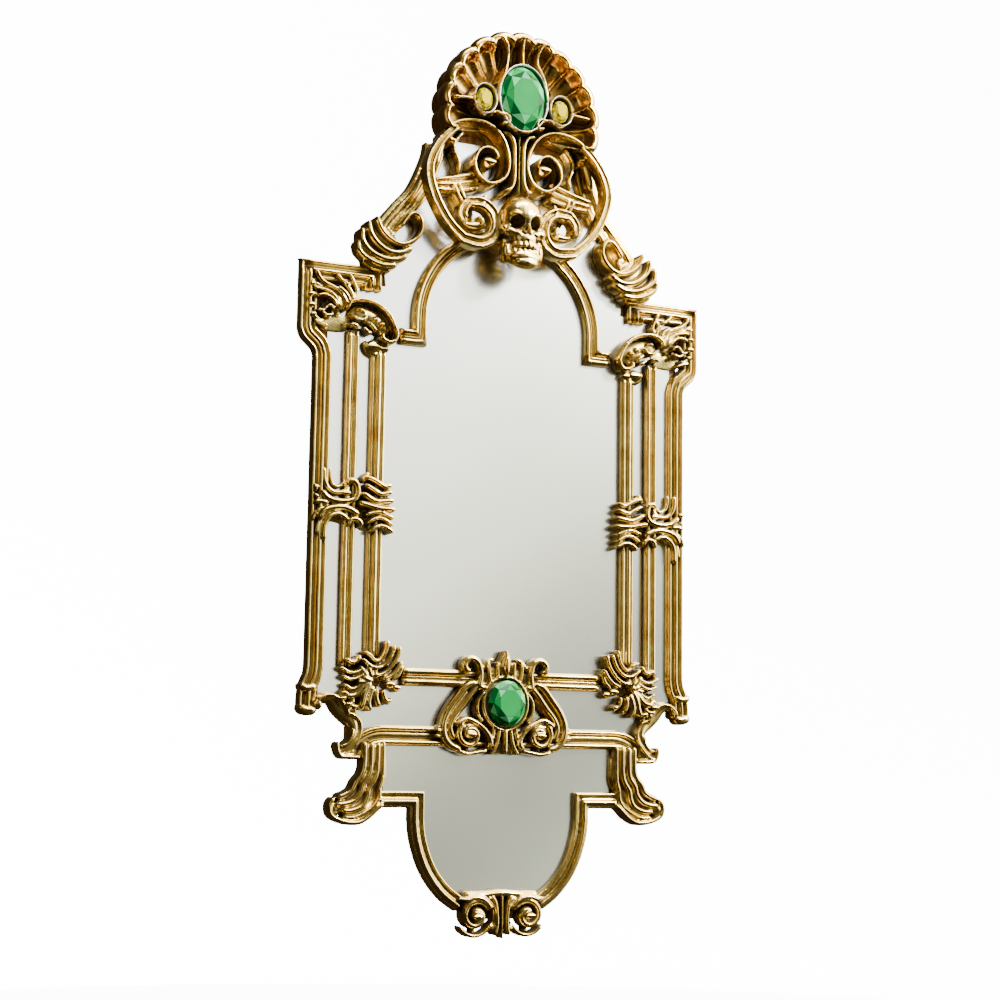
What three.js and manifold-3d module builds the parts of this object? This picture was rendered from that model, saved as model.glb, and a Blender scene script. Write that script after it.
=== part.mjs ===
// Baroque wall mirror: gilded mouldings and carvings over seven mirror plates, on plywood boards
// that hang from two strap hangers. Millimetres, +Z up, the front faces -Y and the wall is the plane Y = 0.
// Outlines are drawn as [x, z], with z counted up from the lowest point of the bottom finial, and depths are
// distances from the wall. The finished group is moved down so that the hook line is Z = 0.
import * as THREE from 'three';
import { mergeVertices } from 'three/addons/utils/BufferGeometryUtils.js';
import Module from 'manifold-3d';

const wasm = await Module();
wasm.setup();

// ---- driving sizes: across ----
const INNER_BAR_X = 184;        // centre of the bar beside the main plate
const STRIP_INNER = 36;         // inner bar to middle bar, centre to centre
const STRIP_OUTER = 39.5;       // middle bar to outer stile, centre to centre
const SHOULDER_STEP = 22;       // how far the shoulder stands out past the stile
const INNER_BAR_W = 21;
const MID_BAR_W = 17;
const STILE_W = 25;
const SHOULDER_BAR_W = 28;
const SHOULDER_BAR_L = 112;
const RAIL_UPPER_W = 23;
const RAIL_LOWER_W = 26;
const RAKED_BAR_W = 30;
const ARCH_W = 21;
const ARCH_R = 127.5;           // arch moulding, to its centre line
const PENDANT_X = 118;          // centre of the pendant's upright moulding
const PENDANT_W = 21;

// ---- driving sizes: up ----
const PENDANT_TOP = 176;
const RAIL_LOWER = 256;
const RAIL_UPPER = 331;
const COLUMN_HEIGHT = 516;      // upper rail to shoulder bar, centre to centre
const CLASP_UP = 216;           // mid clasp above the upper rail
const SHELL_UP = 238;           // shell centre above the shoulder bar
const SHELL_R = 115;

// ---- driving sizes: depth ----
const PAD_T = 6;
const BATTEN_T = 12;
const BOARD_T = 9;
const PLATE_T = 4;
const MOULDING_RISE = 16.7;     // crown of a moulding above its seat
const SCROLL_RISE = 18;         // crest scrolls in front of the mouldings
const STRAP_T = 12;
const ORNAMENT_T = 13;
const FIT = 0.3;                // gap between pieces that touch
const LAP = 6;                  // moulding lip over the edge of a plate
const STEM_W = 8;               // foot of an inner moulding, between two plates

// ---- levels and depths worked out from them ----
const SHOULDER = RAIL_UPPER + COLUMN_HEIGHT;
const CLASP = RAIL_UPPER + CLASP_UP;
const LEDGE = SHOULDER - 72.5;
const SPRING = SHOULDER - 47;
const SHELL = SHOULDER + SHELL_UP;
const SHELL_BASE = SHELL - 35;
const HOOK = SHOULDER;
const MID_BAR_X = INNER_BAR_X + STRIP_INNER;
const STILE_X = MID_BAR_X + STRIP_OUTER;
const SHOULDER_X = STILE_X + SHOULDER_STEP;
const SHOULDER_EDGE = SHOULDER_X + STILE_W / 2;
const SHOULDER_END = SHOULDER_EDGE - SHOULDER_BAR_L;
const BOARD_BACK = PAD_T + BATTEN_T;
const BOARD_FRONT = BOARD_BACK + BOARD_T;
const SEAT = BOARD_FRONT + FIT;
const PLATE_FRONT = SEAT + PLATE_T;
const ON_GLASS = PLATE_FRONT + FIT;
const CROWN = SEAT + MOULDING_RISE;
const ON_CROWN = CROWN + FIT;
const SCROLL_FRONT = CROWN + SCROLL_RISE;
const LIP = ON_GLASS - SEAT;
const STEM_GAP = STEM_W / 2 + FIT;

// ---- finishes ----
const finish = (color, roughness, metalness) => ({ color, roughness, metalness });
const GILT = finish(0xc9a24a, 0.3, 1);
const SILVERED = finish(0xd4d4cc, 0.04, 1);
const PLY = finish(0xb08a5c, 0.8, 0);
const STEEL = finish(0x9a9a96, 0.4, 1);
const RUBBER = finish(0x262626, 0.9, 0);
const GREEN_STONE = finish(0x1f8a45, 0.08, 0);
const YELLOW_STONE = finish(0xf0d020, 0.08, 0);

const mirror = new THREE.Group();

function add(name, look, geometry) {
  const mesh = new THREE.Mesh(geometry, new THREE.MeshStandardMaterial(look));
  mesh.name = name;
  mirror.add(mesh);
}

// The same piece on the other side of the centre line, with its faces still pointing out.
function mirrored(geometry) {
  const copy = geometry.index ? geometry.toNonIndexed() : geometry.clone();
  const from = copy.attributes.position;
  const turned = [];
  for (let corner = 0; corner < from.count; corner += 3) {
    for (const k of [0, 2, 1]) {
      turned.push(-from.getX(corner + k), from.getY(corner + k), from.getZ(corner + k));
    }
  }
  const geometryOut = new THREE.BufferGeometry();
  geometryOut.setAttribute('position', new THREE.Float32BufferAttribute(turned, 3));
  return geometryOut;
}

function addPair(name, look, rightGeometry) {
  add(`${name}_right`, look, rightGeometry);
  add(`${name}_left`, look, mirrored(rightGeometry));
}

// ---- solids ----
function toSolid(geometry) {
  const bare = geometry.clone();
  bare.deleteAttribute('normal');
  bare.deleteAttribute('uv');
  const merged = mergeVertices(bare, 1e-4);
  return new wasm.Manifold(new wasm.Mesh({
    numProp: 3,
    vertProperties: new Float32Array(merged.attributes.position.array),
    triVerts: new Uint32Array(merged.index.array),
  }));
}

function toGeometry(solid) {
  const { vertProperties, triVerts } = solid.getMesh();
  const geometry = new THREE.BufferGeometry();
  geometry.setAttribute('position', new THREE.BufferAttribute(new Float32Array(vertProperties), 3));
  geometry.setIndex(new THREE.BufferAttribute(new Uint32Array(triVerts), 1));
  return geometry;
}

function join(...geometries) {
  return toGeometry(geometries.map(toSolid).reduce((all, next) => all.add(next)));
}

function cut(body, ...tools) {
  return toGeometry(tools.map(toSolid).reduce((rest, tool) => rest.subtract(tool), toSolid(body)));
}

function block(x0, x1, near, far, z0, z1) {
  return new THREE.BoxGeometry(x1 - x0, far - near, z1 - z0)
    .translate((x0 + x1) / 2, -(near + far) / 2, (z0 + z1) / 2);
}

function disc(x, z, radius, near, far, sides = 16) {
  return new THREE.CylinderGeometry(radius, radius, far - near, sides)
    .translate(x, -(near + far) / 2, z);
}

function ball(x, depth, z, rx, ry, rz) {
  return new THREE.SphereGeometry(1, 12, 8).scale(rx, ry, rz).translate(x, -depth, z);
}

// A flat piece with an [x, z] outline, from one distance from the wall to another.
function plate(outline, near, far, holes = []) {
  const shape = new THREE.Shape(outline.map(([x, z]) => new THREE.Vector2(x, z)));
  for (const hole of holes) shape.holes.push(new THREE.Path(hole.map(([x, z]) => new THREE.Vector2(x, z))));
  return new THREE.ExtrudeGeometry(shape, { depth: far - near, bevelEnabled: false })
    .rotateX(Math.PI / 2)
    .translate(0, -near, 0);
}

// ---- lines in the front plane ----
function arc(cx, cz, rx, from, to, count, rz = rx) {
  return Array.from({ length: count + 1 }, (_, k) => {
    const angle = THREE.MathUtils.degToRad(from + (to - from) * k / count);
    return [cx + rx * Math.cos(angle), cz + rz * Math.sin(angle)];
  });
}

function spiral(cx, cz, outer, inner, from, to, count) {
  return arc(cx, cz, 1, from, to, count).map(([x, z], k) => {
    const radius = outer + (inner - outer) * k / count;
    return [cx + (x - cx) * radius, cz + (z - cz) * radius];
  });
}

// The mitred direction to the left of travel at one point of a line.
function leftAt(line, k) {
  const way = (a, b) => new THREE.Vector2(b[0] - a[0], b[1] - a[1]).normalize();
  const before = way(line[Math.max(k - 1, 0)], line[Math.max(k, 1)]);
  const after = way(line[Math.min(k, line.length - 2)], line[Math.min(k + 1, line.length - 1)]);
  const along = before.clone().add(after).normalize();
  const stretch = 1 / Math.max(along.dot(before), 0.6);
  return [-along.y * stretch, along.x * stretch];
}

function beside(line, offset) {
  return line.map(([x, z], k) => {
    const [leftX, leftZ] = leftAt(line, k);
    return [x + leftX * offset, z + leftZ * offset];
  });
}

// A moulding: a section of [to the left, away from the wall] points carried along a line.
function moulding(section, line, base) {
  const shape = new THREE.Shape(section.map(([side, rise]) => new THREE.Vector2(side, rise)));
  const steps = line.length - 1;
  const geometry = new THREE.ExtrudeGeometry(shape, { depth: steps, steps, bevelEnabled: false });
  const at = geometry.attributes.position;
  const left = line.map((_, k) => leftAt(line, k));
  for (let i = 0; i < at.count; i++) {
    const k = Math.round(at.getZ(i));
    const side = at.getX(i);
    at.setXYZ(i, line[k][0] + left[k][0] * side, -(base + at.getY(i)), line[k][1] + left[k][1] * side);
  }
  return geometry;
}

// The two reeds along the top of every moulding.
function reeds(half, rise) {
  const right = [
    [half, rise * 0.62], [half * 0.75, rise * 0.9], [half * 0.45, rise], [half * 0.15, rise * 0.86],
  ];
  return [...right, ...right.map(([x, y]) => [-x, y]).reverse()];
}

function innerSection(width) {
  const half = width / 2;
  const stem = STEM_W / 2;
  return [
    [-stem, 0], [stem, 0], [stem, LIP], [half, LIP], ...reeds(half, MOULDING_RISE),
    [-half, LIP], [-stem, LIP],
  ];
}

function outerSection(width) {
  const half = width / 2;
  return [[LAP - half, 0], [half, 0], ...reeds(half, MOULDING_RISE), [-half, LIP], [LAP - half, LIP]];
}

function flatSection(width, rise) {
  return [[-width / 2, 0], [width / 2, 0], ...reeds(width / 2, rise)];
}

// ---- lines that several pieces share ----
const stileLine = [
  [SHOULDER_X, SHOULDER - SHOULDER_BAR_W / 2 - FIT],
  [SHOULDER_X, SHOULDER - 75],
  [SHOULDER_X - SHOULDER_STEP * 0.35, SHOULDER - 86],
  [STILE_X + SHOULDER_STEP * 0.1, SHOULDER - 97],
  [STILE_X, SHOULDER - 108],
  [STILE_X, RAIL_UPPER + 8],
  [STILE_X + 3, RAIL_UPPER - 12],
  [STILE_X + 9, RAIL_UPPER - 32],
  [STILE_X + 9, RAIL_UPPER - 52],
];
const rakedLine = [
  [112, SHELL_BASE - 14],
  [118, SHOULDER + 160],
  [138 + (SHOULDER_END - 182) * 0.5, SHOULDER + 119],
  [SHOULDER_END - 6, SHOULDER + 71],
  [SHOULDER_END + 4, SHOULDER + SHOULDER_BAR_W / 2 + 16],
  [SHOULDER_END + 4, SHOULDER + SHOULDER_BAR_W / 2 + FIT],
];
const archLine = [
  [INNER_BAR_X - 30, LEDGE],
  [ARCH_R, LEDGE],
  ...arc(0, SPRING, ARCH_R, 0, 90, 12).slice(0, -1),
  [2, SPRING + ARCH_R],
  [FIT / 2, SPRING + ARCH_R],
];
const pendantLine = [
  [PENDANT_X + 47, PENDANT_TOP],
  [PENDANT_X, PENDANT_TOP],
  [PENDANT_X, PENDANT_TOP - 31],
  [PENDANT_X - 6, PENDANT_TOP - 61],
  [PENDANT_X - 17, PENDANT_TOP - 88],
  [PENDANT_X - 33, PENDANT_TOP - 111],
  [PENDANT_X - 54, PENDANT_TOP - 129],
];
const EDGE_IN = 6;              // the boards stop this far inside the mouldings
const COVER_X = INNER_BAR_X - 26;
const BOARD_X = STILE_X + STILE_W / 2 - EDGE_IN;

// ---- boards behind the plates ----
const COVER_GAP = 1;
const BOARD_SPLIT = SPRING;
const COVER_FOOT = RAIL_UPPER + 4;
addPair('side_board', PLY,
  block(COVER_X, BOARD_X, BOARD_BACK, BOARD_FRONT, COVER_FOOT + FIT, BOARD_SPLIT - FIT));
add('back_cover', PLY,
  block(COVER_GAP - COVER_X, COVER_X - COVER_GAP, BOARD_BACK, BOARD_FRONT,
    COVER_FOOT + COVER_GAP, BOARD_SPLIT - COVER_GAP));

const crestRight = [
  [SHOULDER_EDGE - EDGE_IN, BOARD_SPLIT],
  [SHOULDER_EDGE - EDGE_IN, SHOULDER + SHOULDER_BAR_W / 2 - EDGE_IN],
  ...beside(rakedLine.slice(1), RAKED_BAR_W / 2 - EDGE_IN).reverse(),
  ...arc(0, SHELL, SHELL_R - 2 * EDGE_IN, -25, 90, 10),
];
const acrossCentre = (right) => [...right, ...right.map(([x, z]) => [-x, z]).reverse()];
add('crest_board', PLY, plate(acrossCentre(crestRight), BOARD_BACK, BOARD_FRONT));

const lowerRight = [
  [BOARD_X, COVER_FOOT],
  [BOARD_X, RAIL_UPPER - 34],
  [MID_BAR_X - 8, RAIL_UPPER - 40],
  [MID_BAR_X - 8, RAIL_LOWER - 8],
  [PENDANT_X + 64, RAIL_LOWER - 14],
  [PENDANT_X + 64, PENDANT_TOP - 4],
  ...beside(pendantLine, PENDANT_W / 2 - EDGE_IN).slice(1),
  [34, 24],
];
add('lower_board', PLY, plate(acrossCentre(lowerRight), BOARD_BACK, BOARD_FRONT));

// ---- battens on the back, the brace behind the crest, and the rubber bumpers ----
const BATTEN_X = INNER_BAR_X + 26;
const BATTEN_W = 40;
const BATTEN_FOOT = RAIL_UPPER - 28;
addPair('batten', PLY,
  block(BATTEN_X - BATTEN_W / 2, BATTEN_X + BATTEN_W / 2,
    PAD_T, BOARD_BACK - FIT, BATTEN_FOOT, SHOULDER + 4));
const BRACE_W = 60;
add('crest_brace', PLY,
  block(-BRACE_W / 2, BRACE_W / 2, 0, BOARD_BACK - FIT, BOARD_SPLIT + 12, SHELL + 15));
const PAD_R = 11;
addPair('bumper', RUBBER, disc(BATTEN_X, BATTEN_FOOT + 20, PAD_R, 0, PAD_T - FIT));

// ---- strap hangers: a plate with two screw heads and a rolled knuckle that the ring's bar turns in ----
const WIRE_R = 1.5;
const RING_W = 26;              // across the ring, wire centre to wire centre
const RING_H = 18;              // bar to the top of the ring, wire centre to wire centre
const STRAP_PLATE_T = 1.2;
const STRAP_W = 16;
const STRAP_L = 46;
const RUNNING = 0.15;
const KNUCKLE_R = WIRE_R + RUNNING + STRAP_PLATE_T;
const PIVOT_DEPTH = KNUCKLE_R + RUNNING;
const PIVOT_Z = HOOK - RING_H + WIRE_R;
const alongX = (radius, length) =>
  new THREE.CylinderGeometry(radius, radius, length, 12).rotateZ(Math.PI / 2)
    .translate(BATTEN_X, -PIVOT_DEPTH, PIVOT_Z);
const strapFlat = block(BATTEN_X - STRAP_W / 2, BATTEN_X + STRAP_W / 2,
  PAD_T - FIT - STRAP_PLATE_T, PAD_T - FIT, PIVOT_Z - STRAP_L, PIVOT_Z);
const screwHeads = [10.5, 36].map((down) =>
  disc(BATTEN_X, PIVOT_Z - down, 4, PAD_T - FIT - STRAP_PLATE_T - 1.8, PAD_T - FIT - STRAP_PLATE_T / 2, 12));
addPair('hanger_strap', STEEL,
  cut(join(strapFlat, alongX(KNUCKLE_R, STRAP_W), ...screwHeads), alongX(WIRE_R + RUNNING, STRAP_W * 2)));

const legTop = RING_H - RING_W / 2;
const wire = arc(0, 0, WIRE_R, 0, 360, 10).slice(1);
const ringPoints = [[-RING_W / 2, 0], ...arc(0, legTop, RING_W / 2, 180, 0, 10), [RING_W / 2, 0]];
const ringBow = moulding(wire, ringPoints, 0).translate(BATTEN_X, -PIVOT_DEPTH, PIVOT_Z);
addPair('hanger_ring', STEEL, join(ringBow, alongX(WIRE_R, RING_W + 2 * WIRE_R)));

// ---- turn buttons that hold the back cover ----
const BUTTON_T = 1.5;
const BUTTON_W = 12;
const BUTTON_ARM = 30;
const BUTTON_X = COVER_X + 12;
for (const [place, level] of [['upper', BOARD_SPLIT - 90], ['lower', COVER_FOOT + 90]]) {
  const tab = [
    ...arc(BUTTON_X, level, BUTTON_W / 2, -90, 90, 6),
    ...arc(BUTTON_X - BUTTON_ARM, level, BUTTON_W / 2, 90, 270, 6),
  ];
  addPair(`turn_button_${place}`, STEEL, join(
    plate(tab, BOARD_BACK - FIT - BUTTON_T, BOARD_BACK - FIT),
    disc(BUTTON_X, level, 3.5, BOARD_BACK - FIT - 2 * BUTTON_T, BOARD_BACK - FIT - BUTTON_T / 2, 12)));
}

// ---- mirror plates ----
const mainRight = [
  [INNER_BAR_X - STEM_GAP, RAIL_UPPER + STEM_GAP],
  [INNER_BAR_X - STEM_GAP, LEDGE - STEM_GAP],
  [ARCH_R - STEM_GAP, LEDGE - STEM_GAP],
  ...arc(0, SPRING, ARCH_R - STEM_GAP, 0, 90, 14),
];
const pane = (outline) => plate(outline, SEAT, PLATE_FRONT);
add('main_plate', SILVERED, pane(acrossCentre(mainRight)));
const STILE_RABBET = STILE_W / 2 - LAP + FIT;
const borderTab = MID_BAR_X - 8 + FIT;
const border = [
  [INNER_BAR_X + STEM_GAP, RAIL_UPPER + STEM_GAP],
  [INNER_BAR_X + STEM_GAP, LEDGE],
  [STILE_X - STILE_RABBET, LEDGE],
  [STILE_X - STILE_RABBET, RAIL_UPPER - 25],
  [borderTab, RAIL_UPPER - 25],
  [borderTab, RAIL_UPPER + STEM_GAP],
];
addPair('border_plate', SILVERED, pane(border));
const spandrel = [
  ...arc(0, SPRING, ARCH_R + STEM_GAP, 90, 0, 14).map(([x, z]) => [Math.max(x, FIT / 2), z]),
  [ARCH_R + STEM_GAP, LEDGE + STEM_GAP],
  [STILE_X - STILE_RABBET, LEDGE + STEM_GAP],
  [STILE_X - STILE_RABBET, SHOULDER - SHOULDER_BAR_W / 2 + LAP - FIT],
  [SHOULDER_END - 8, SHOULDER - SHOULDER_BAR_W / 2 + LAP - FIT],
  ...beside(rakedLine, LAP - RAKED_BAR_W / 2 - FIT).reverse().slice(0, -1),
  [98, SHELL_BASE - FIT],
  [FIT / 2, SHELL_BASE - FIT],
];
addPair('spandrel_plate', SILVERED, pane(spandrel));
add('band_plate', SILVERED,
  block(8 - MID_BAR_X, MID_BAR_X - 8, SEAT, PLATE_FRONT, RAIL_LOWER + STEM_GAP, RAIL_UPPER - STEM_GAP));
const PENDANT_RABBET = PENDANT_W / 2 - LAP + FIT;
const pendantRight = [
  [PENDANT_X + 44, RAIL_LOWER - STEM_GAP],
  [PENDANT_X + 44, PENDANT_TOP + PENDANT_RABBET],
  ...beside(pendantLine, -PENDANT_RABBET).slice(1),
  [46, 59],
];
add('pendant_plate', SILVERED, pane(acrossCentre(pendantRight)));

// ---- mouldings ----
addPair('outer_stile', GILT, moulding(outerSection(STILE_W), stileLine, SEAT));
addPair('shoulder_bar', GILT,
  moulding(outerSection(SHOULDER_BAR_W), [[SHOULDER_END, SHOULDER], [SHOULDER_EDGE, SHOULDER]], SEAT));
addPair('middle_bar', GILT, moulding(flatSection(MID_BAR_W, MOULDING_RISE - LIP),
  [[MID_BAR_X, LEDGE - 2], [MID_BAR_X, RAIL_UPPER + 26]], ON_GLASS));
addPair('inner_bar', GILT, moulding(innerSection(INNER_BAR_W),
  [[INNER_BAR_X, LEDGE - 24], [INNER_BAR_X, RAIL_UPPER + 46]], SEAT));
addPair('arch_moulding', GILT, moulding(innerSection(ARCH_W), archLine, SEAT));
add('upper_rail', GILT, moulding(innerSection(RAIL_UPPER_W),
  [[42 - INNER_BAR_X, RAIL_UPPER], [INNER_BAR_X - 42, RAIL_UPPER]], SEAT));
const railEnd = [
  [INNER_BAR_X - 4, RAIL_LOWER], [MID_BAR_X - 14, RAIL_LOWER - 5], [MID_BAR_X + 5, RAIL_LOWER - 16],
];
const railLine = [...railEnd.map(([x, z]) => [-x, z]).reverse(), ...railEnd];
add('lower_rail', GILT, moulding(innerSection(RAIL_LOWER_W), railLine, SEAT));

const CLASP_X = SHOULDER_END - 5;
const rakedClasp = plate(arc(CLASP_X, SHOULDER + 48, 42, 0, 360, 18, 34).slice(1), ON_GLASS + 2, CROWN + 8);
addPair('raked_bar', GILT, join(moulding(outerSection(RAKED_BAR_W), rakedLine, SEAT), rakedClasp));

// The pendant's moulding, with the short lower stile and the scrolled foot in one carving.
const footOutline = [
  [PENDANT_X + 42, PENDANT_TOP + 66], [PENDANT_X + 62, PENDANT_TOP + 66],
  [PENDANT_X + 82, PENDANT_TOP + 60], [PENDANT_X + 82, PENDANT_TOP + 22],
  [PENDANT_X + 118, PENDANT_TOP + 6], [PENDANT_X + 118, PENDANT_TOP - 16], [PENDANT_X + 92, PENDANT_TOP - 30],
  [PENDANT_X + 56, PENDANT_TOP - 32], [PENDANT_X + 38, PENDANT_TOP - 18], [PENDANT_X + 38, PENDANT_TOP + 14],
];
addPair('pendant_moulding', GILT,
  join(moulding(outerSection(PENDANT_W), pendantLine, SEAT), plate(footOutline, ON_GLASS, CROWN + 4)));
const finialVolute = (x) => disc(x, 30, 27, SEAT, CROWN + ORNAMENT_T, 18);
add('bottom_finial', GILT,
  join(finialVolute(-37), finialVolute(37), block(-12, 12, SEAT, CROWN + ORNAMENT_T, 0, 52)));

// ---- carvings over the joints ----
const LEAF_EDGE = SHOULDER_X - STILE_W / 2 - 1.5;
const leaf = [
  [LEAF_EDGE, LEDGE + 6], [LEAF_EDGE, SHOULDER - SHOULDER_BAR_W / 2 - 1],
  [MID_BAR_X + 8, SHOULDER - SHOULDER_BAR_W / 2 - 1], [MID_BAR_X + 4, LEDGE + 40],
  [MID_BAR_X - 16, LEDGE + 43], [MID_BAR_X - 40, LEDGE + 32], [MID_BAR_X - 56, LEDGE + 12],
  [MID_BAR_X - 60, LEDGE - 8], [MID_BAR_X - 48, LEDGE - 20], [MID_BAR_X - 34, LEDGE - 18],
  [MID_BAR_X - 26, LEDGE + 1], [MID_BAR_X, LEDGE + 1], [MID_BAR_X + 24, LEDGE + 1],
];
addPair('corner_leaf', GILT, plate(leaf, CROWN - 6, CROWN + ORNAMENT_T));

const clasp = [
  [STILE_X + 14, CLASP + 6], [STILE_X - 12, CLASP + 22], [MID_BAR_X + 2, CLASP + 20],
  [INNER_BAR_X + 20, CLASP + 22], [INNER_BAR_X - 12, CLASP + 28], [INNER_BAR_X - 18, CLASP + 2],
  [INNER_BAR_X - 12, CLASP - 28], [INNER_BAR_X + 16, CLASP - 24], [MID_BAR_X - 2, CLASP - 20],
  [STILE_X - 12, CLASP - 14], [STILE_X + 14, CLASP - 8],
];
addPair('mid_clasp', GILT, plate(clasp, ON_CROWN, ON_CROWN + ORNAMENT_T));

const cluster = plate([
  [INNER_BAR_X - 38, RAIL_UPPER + 20], [INNER_BAR_X - 24, RAIL_UPPER + 44],
  [INNER_BAR_X + 16, RAIL_UPPER + 44], [INNER_BAR_X + 44, RAIL_UPPER + 24],
  [INNER_BAR_X + 50, RAIL_UPPER - 14], [INNER_BAR_X + 48, RAIL_UPPER - 58],
  [INNER_BAR_X + 34, RAIL_UPPER - 59], [INNER_BAR_X + 24, RAIL_UPPER - 44],
  [INNER_BAR_X - 10, RAIL_UPPER - 42],
  [INNER_BAR_X - 36, RAIL_UPPER - 20],
], ON_CROWN, ON_CROWN + ORNAMENT_T);
addPair('lower_cluster', GILT, cluster);

// ---- crest: shell, scrolls, post, straps, skull and stones ----
const FLUTES = 13;
const SHELL_DEPTH = 52;
const shellFront = SEAT + SHELL_DEPTH;
const shellRim = arc(0, SHELL, 1, -17, 197, FLUTES * 4).map(([x, z], k) => {
  const radius = SHELL_R * (k % 4 === 2 ? 1 : k % 4 === 0 ? 0.94 : 0.985);
  return [x * radius, SHELL + (z - SHELL) * radius];
});
const GEM_RX = 33;
const GEM_RZ = 44;
const GEM_UP = 24;              // main stone above the shell centre
const SIDE_GEM_X = 57;
const SIDE_GEM_UP = 15;
const DISH_R = 190;
const DISH_DEPTH = 26;
const dish = new THREE.SphereGeometry(DISH_R, 40, 28)
  .translate(0, -(shellFront - DISH_DEPTH + DISH_R), SHELL + SIDE_GEM_UP);
const shellBody = plate([...shellRim, [-84, SHELL_BASE], [84, SHELL_BASE]], SEAT, shellFront);
add('shell', GILT, cut(shellBody, dish));

// A cut stone: pavilion, girdle, crown and flat table, drawn as a turned profile and squeezed to an oval.
function stone(x, z, rx, rz, back, height, sides) {
  const profile = [[0, 0], [0.7, 0.05], [1, 0.45], [0.98, 0.6], [0.55, 1], [0, 1]]
    .map(([radius, up]) => new THREE.Vector2(radius, up * height));
  return new THREE.LatheGeometry(profile, sides).rotateX(Math.PI).scale(rx, 1, rz).translate(x, -back, z);
}
const dishFloor = (x, up) =>
  shellFront - DISH_DEPTH + DISH_R - Math.sqrt(DISH_R ** 2 - x ** 2 - (up - SIDE_GEM_UP) ** 2);
add('crest_stone', GREEN_STONE,
  stone(0, SHELL + GEM_UP, GEM_RX, GEM_RZ, dishFloor(GEM_RX, GEM_UP + GEM_RZ) + 0.5, 22, 12));
addPair('side_stone', YELLOW_STONE,
  stone(SIDE_GEM_X, SHELL + SIDE_GEM_UP, 13, 17, dishFloor(SIDE_GEM_X + 13, SIDE_GEM_UP + 17) + 0.5, 14, 10));

const VOLUTE_X = 41;
const VOLUTE_Z = SHELL - 68;
const scrollLine = [
  [91, SHELL_BASE - 20], [83, SHELL_BASE - 11], [66, SHELL_BASE - 6.5],
  ...spiral(VOLUTE_X, VOLUTE_Z, 27, 12, 75, 500, 24),
];
const scrollSection = flatSection(10, SCROLL_FRONT - ON_GLASS);
const crossBar = plate([[50, VOLUTE_Z - 18], [108, VOLUTE_Z - 44], [114, VOLUTE_Z - 22], [56, VOLUTE_Z - 2]],
  ON_CROWN, SCROLL_FRONT - 6);
addPair('crest_scroll', GILT,
  join(moulding(scrollSection, scrollLine, ON_GLASS),
    ball(VOLUTE_X, SCROLL_FRONT - 8, VOLUTE_Z, 12, 8, 12), crossBar));
const POST_W = 16;
add('crest_post', GILT, moulding(flatSection(POST_W, SCROLL_FRONT - ON_GLASS),
  [[0, SHELL_BASE - 1], [0, SHOULDER + 130]], ON_GLASS));

const strapLine = [
  [112, SHELL_BASE - 20], [126, SHOULDER + 158], [129, SHOULDER + 140], [122, SHOULDER + 112],
  [106, SHOULDER + 86],
  [90, SHOULDER + 68], ...spiral(61, SHOULDER + 86, 24, 13, -55, 250, 14),
];
addPair('strap', GILT, moulding(flatSection(13, STRAP_T), strapLine, SCROLL_FRONT + FIT));

const SKULL_Z = SHOULDER + 83;
add('skull', GILT, join(
  ball(0, CROWN + 28, SKULL_Z + 14, 29, 27, 34),
  ball(0, CROWN + 34, SKULL_Z - 10, 22, 20, 22),
  ball(0, CROWN + 32, SKULL_Z - 30, 20, 18, 18)));

// ---- lower cartouche with its stone ----
const CARTOUCHE_Z = RAIL_UPPER - 31;
const cartoucheRight = [
  [14, CARTOUCHE_Z + 68], [34, CARTOUCHE_Z + 56], [54, CARTOUCHE_Z + 62], [56, CARTOUCHE_Z + 46],
  [42, CARTOUCHE_Z + 36], [66, CARTOUCHE_Z + 4], [88, CARTOUCHE_Z - 26], [82, CARTOUCHE_Z - 54],
  [56, CARTOUCHE_Z - 68], [20, CARTOUCHE_Z - 66],
];
const CARTOUCHE_HOLE_X = 31;
const CARTOUCHE_HOLE_Z = 35;
const socket = arc(0, CARTOUCHE_Z, CARTOUCHE_HOLE_X, 0, 360, 20, CARTOUCHE_HOLE_Z).slice(1);
add('cartouche', GILT, plate(acrossCentre(cartoucheRight), ON_CROWN, ON_CROWN + ORNAMENT_T + 4, [socket]));
add('cartouche_stone', GREEN_STONE, stone(0, CARTOUCHE_Z, 27, 31, ON_CROWN, 20, 12));

mirror.position.z = -HOOK;
mirror.updateMatrixWorld(true);

export default mirror;
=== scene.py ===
"""A tall carved and gilded wall mirror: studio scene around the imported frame."""
import math

import bmesh
import bpy
from mathutils import Matrix, Vector, noise


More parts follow.
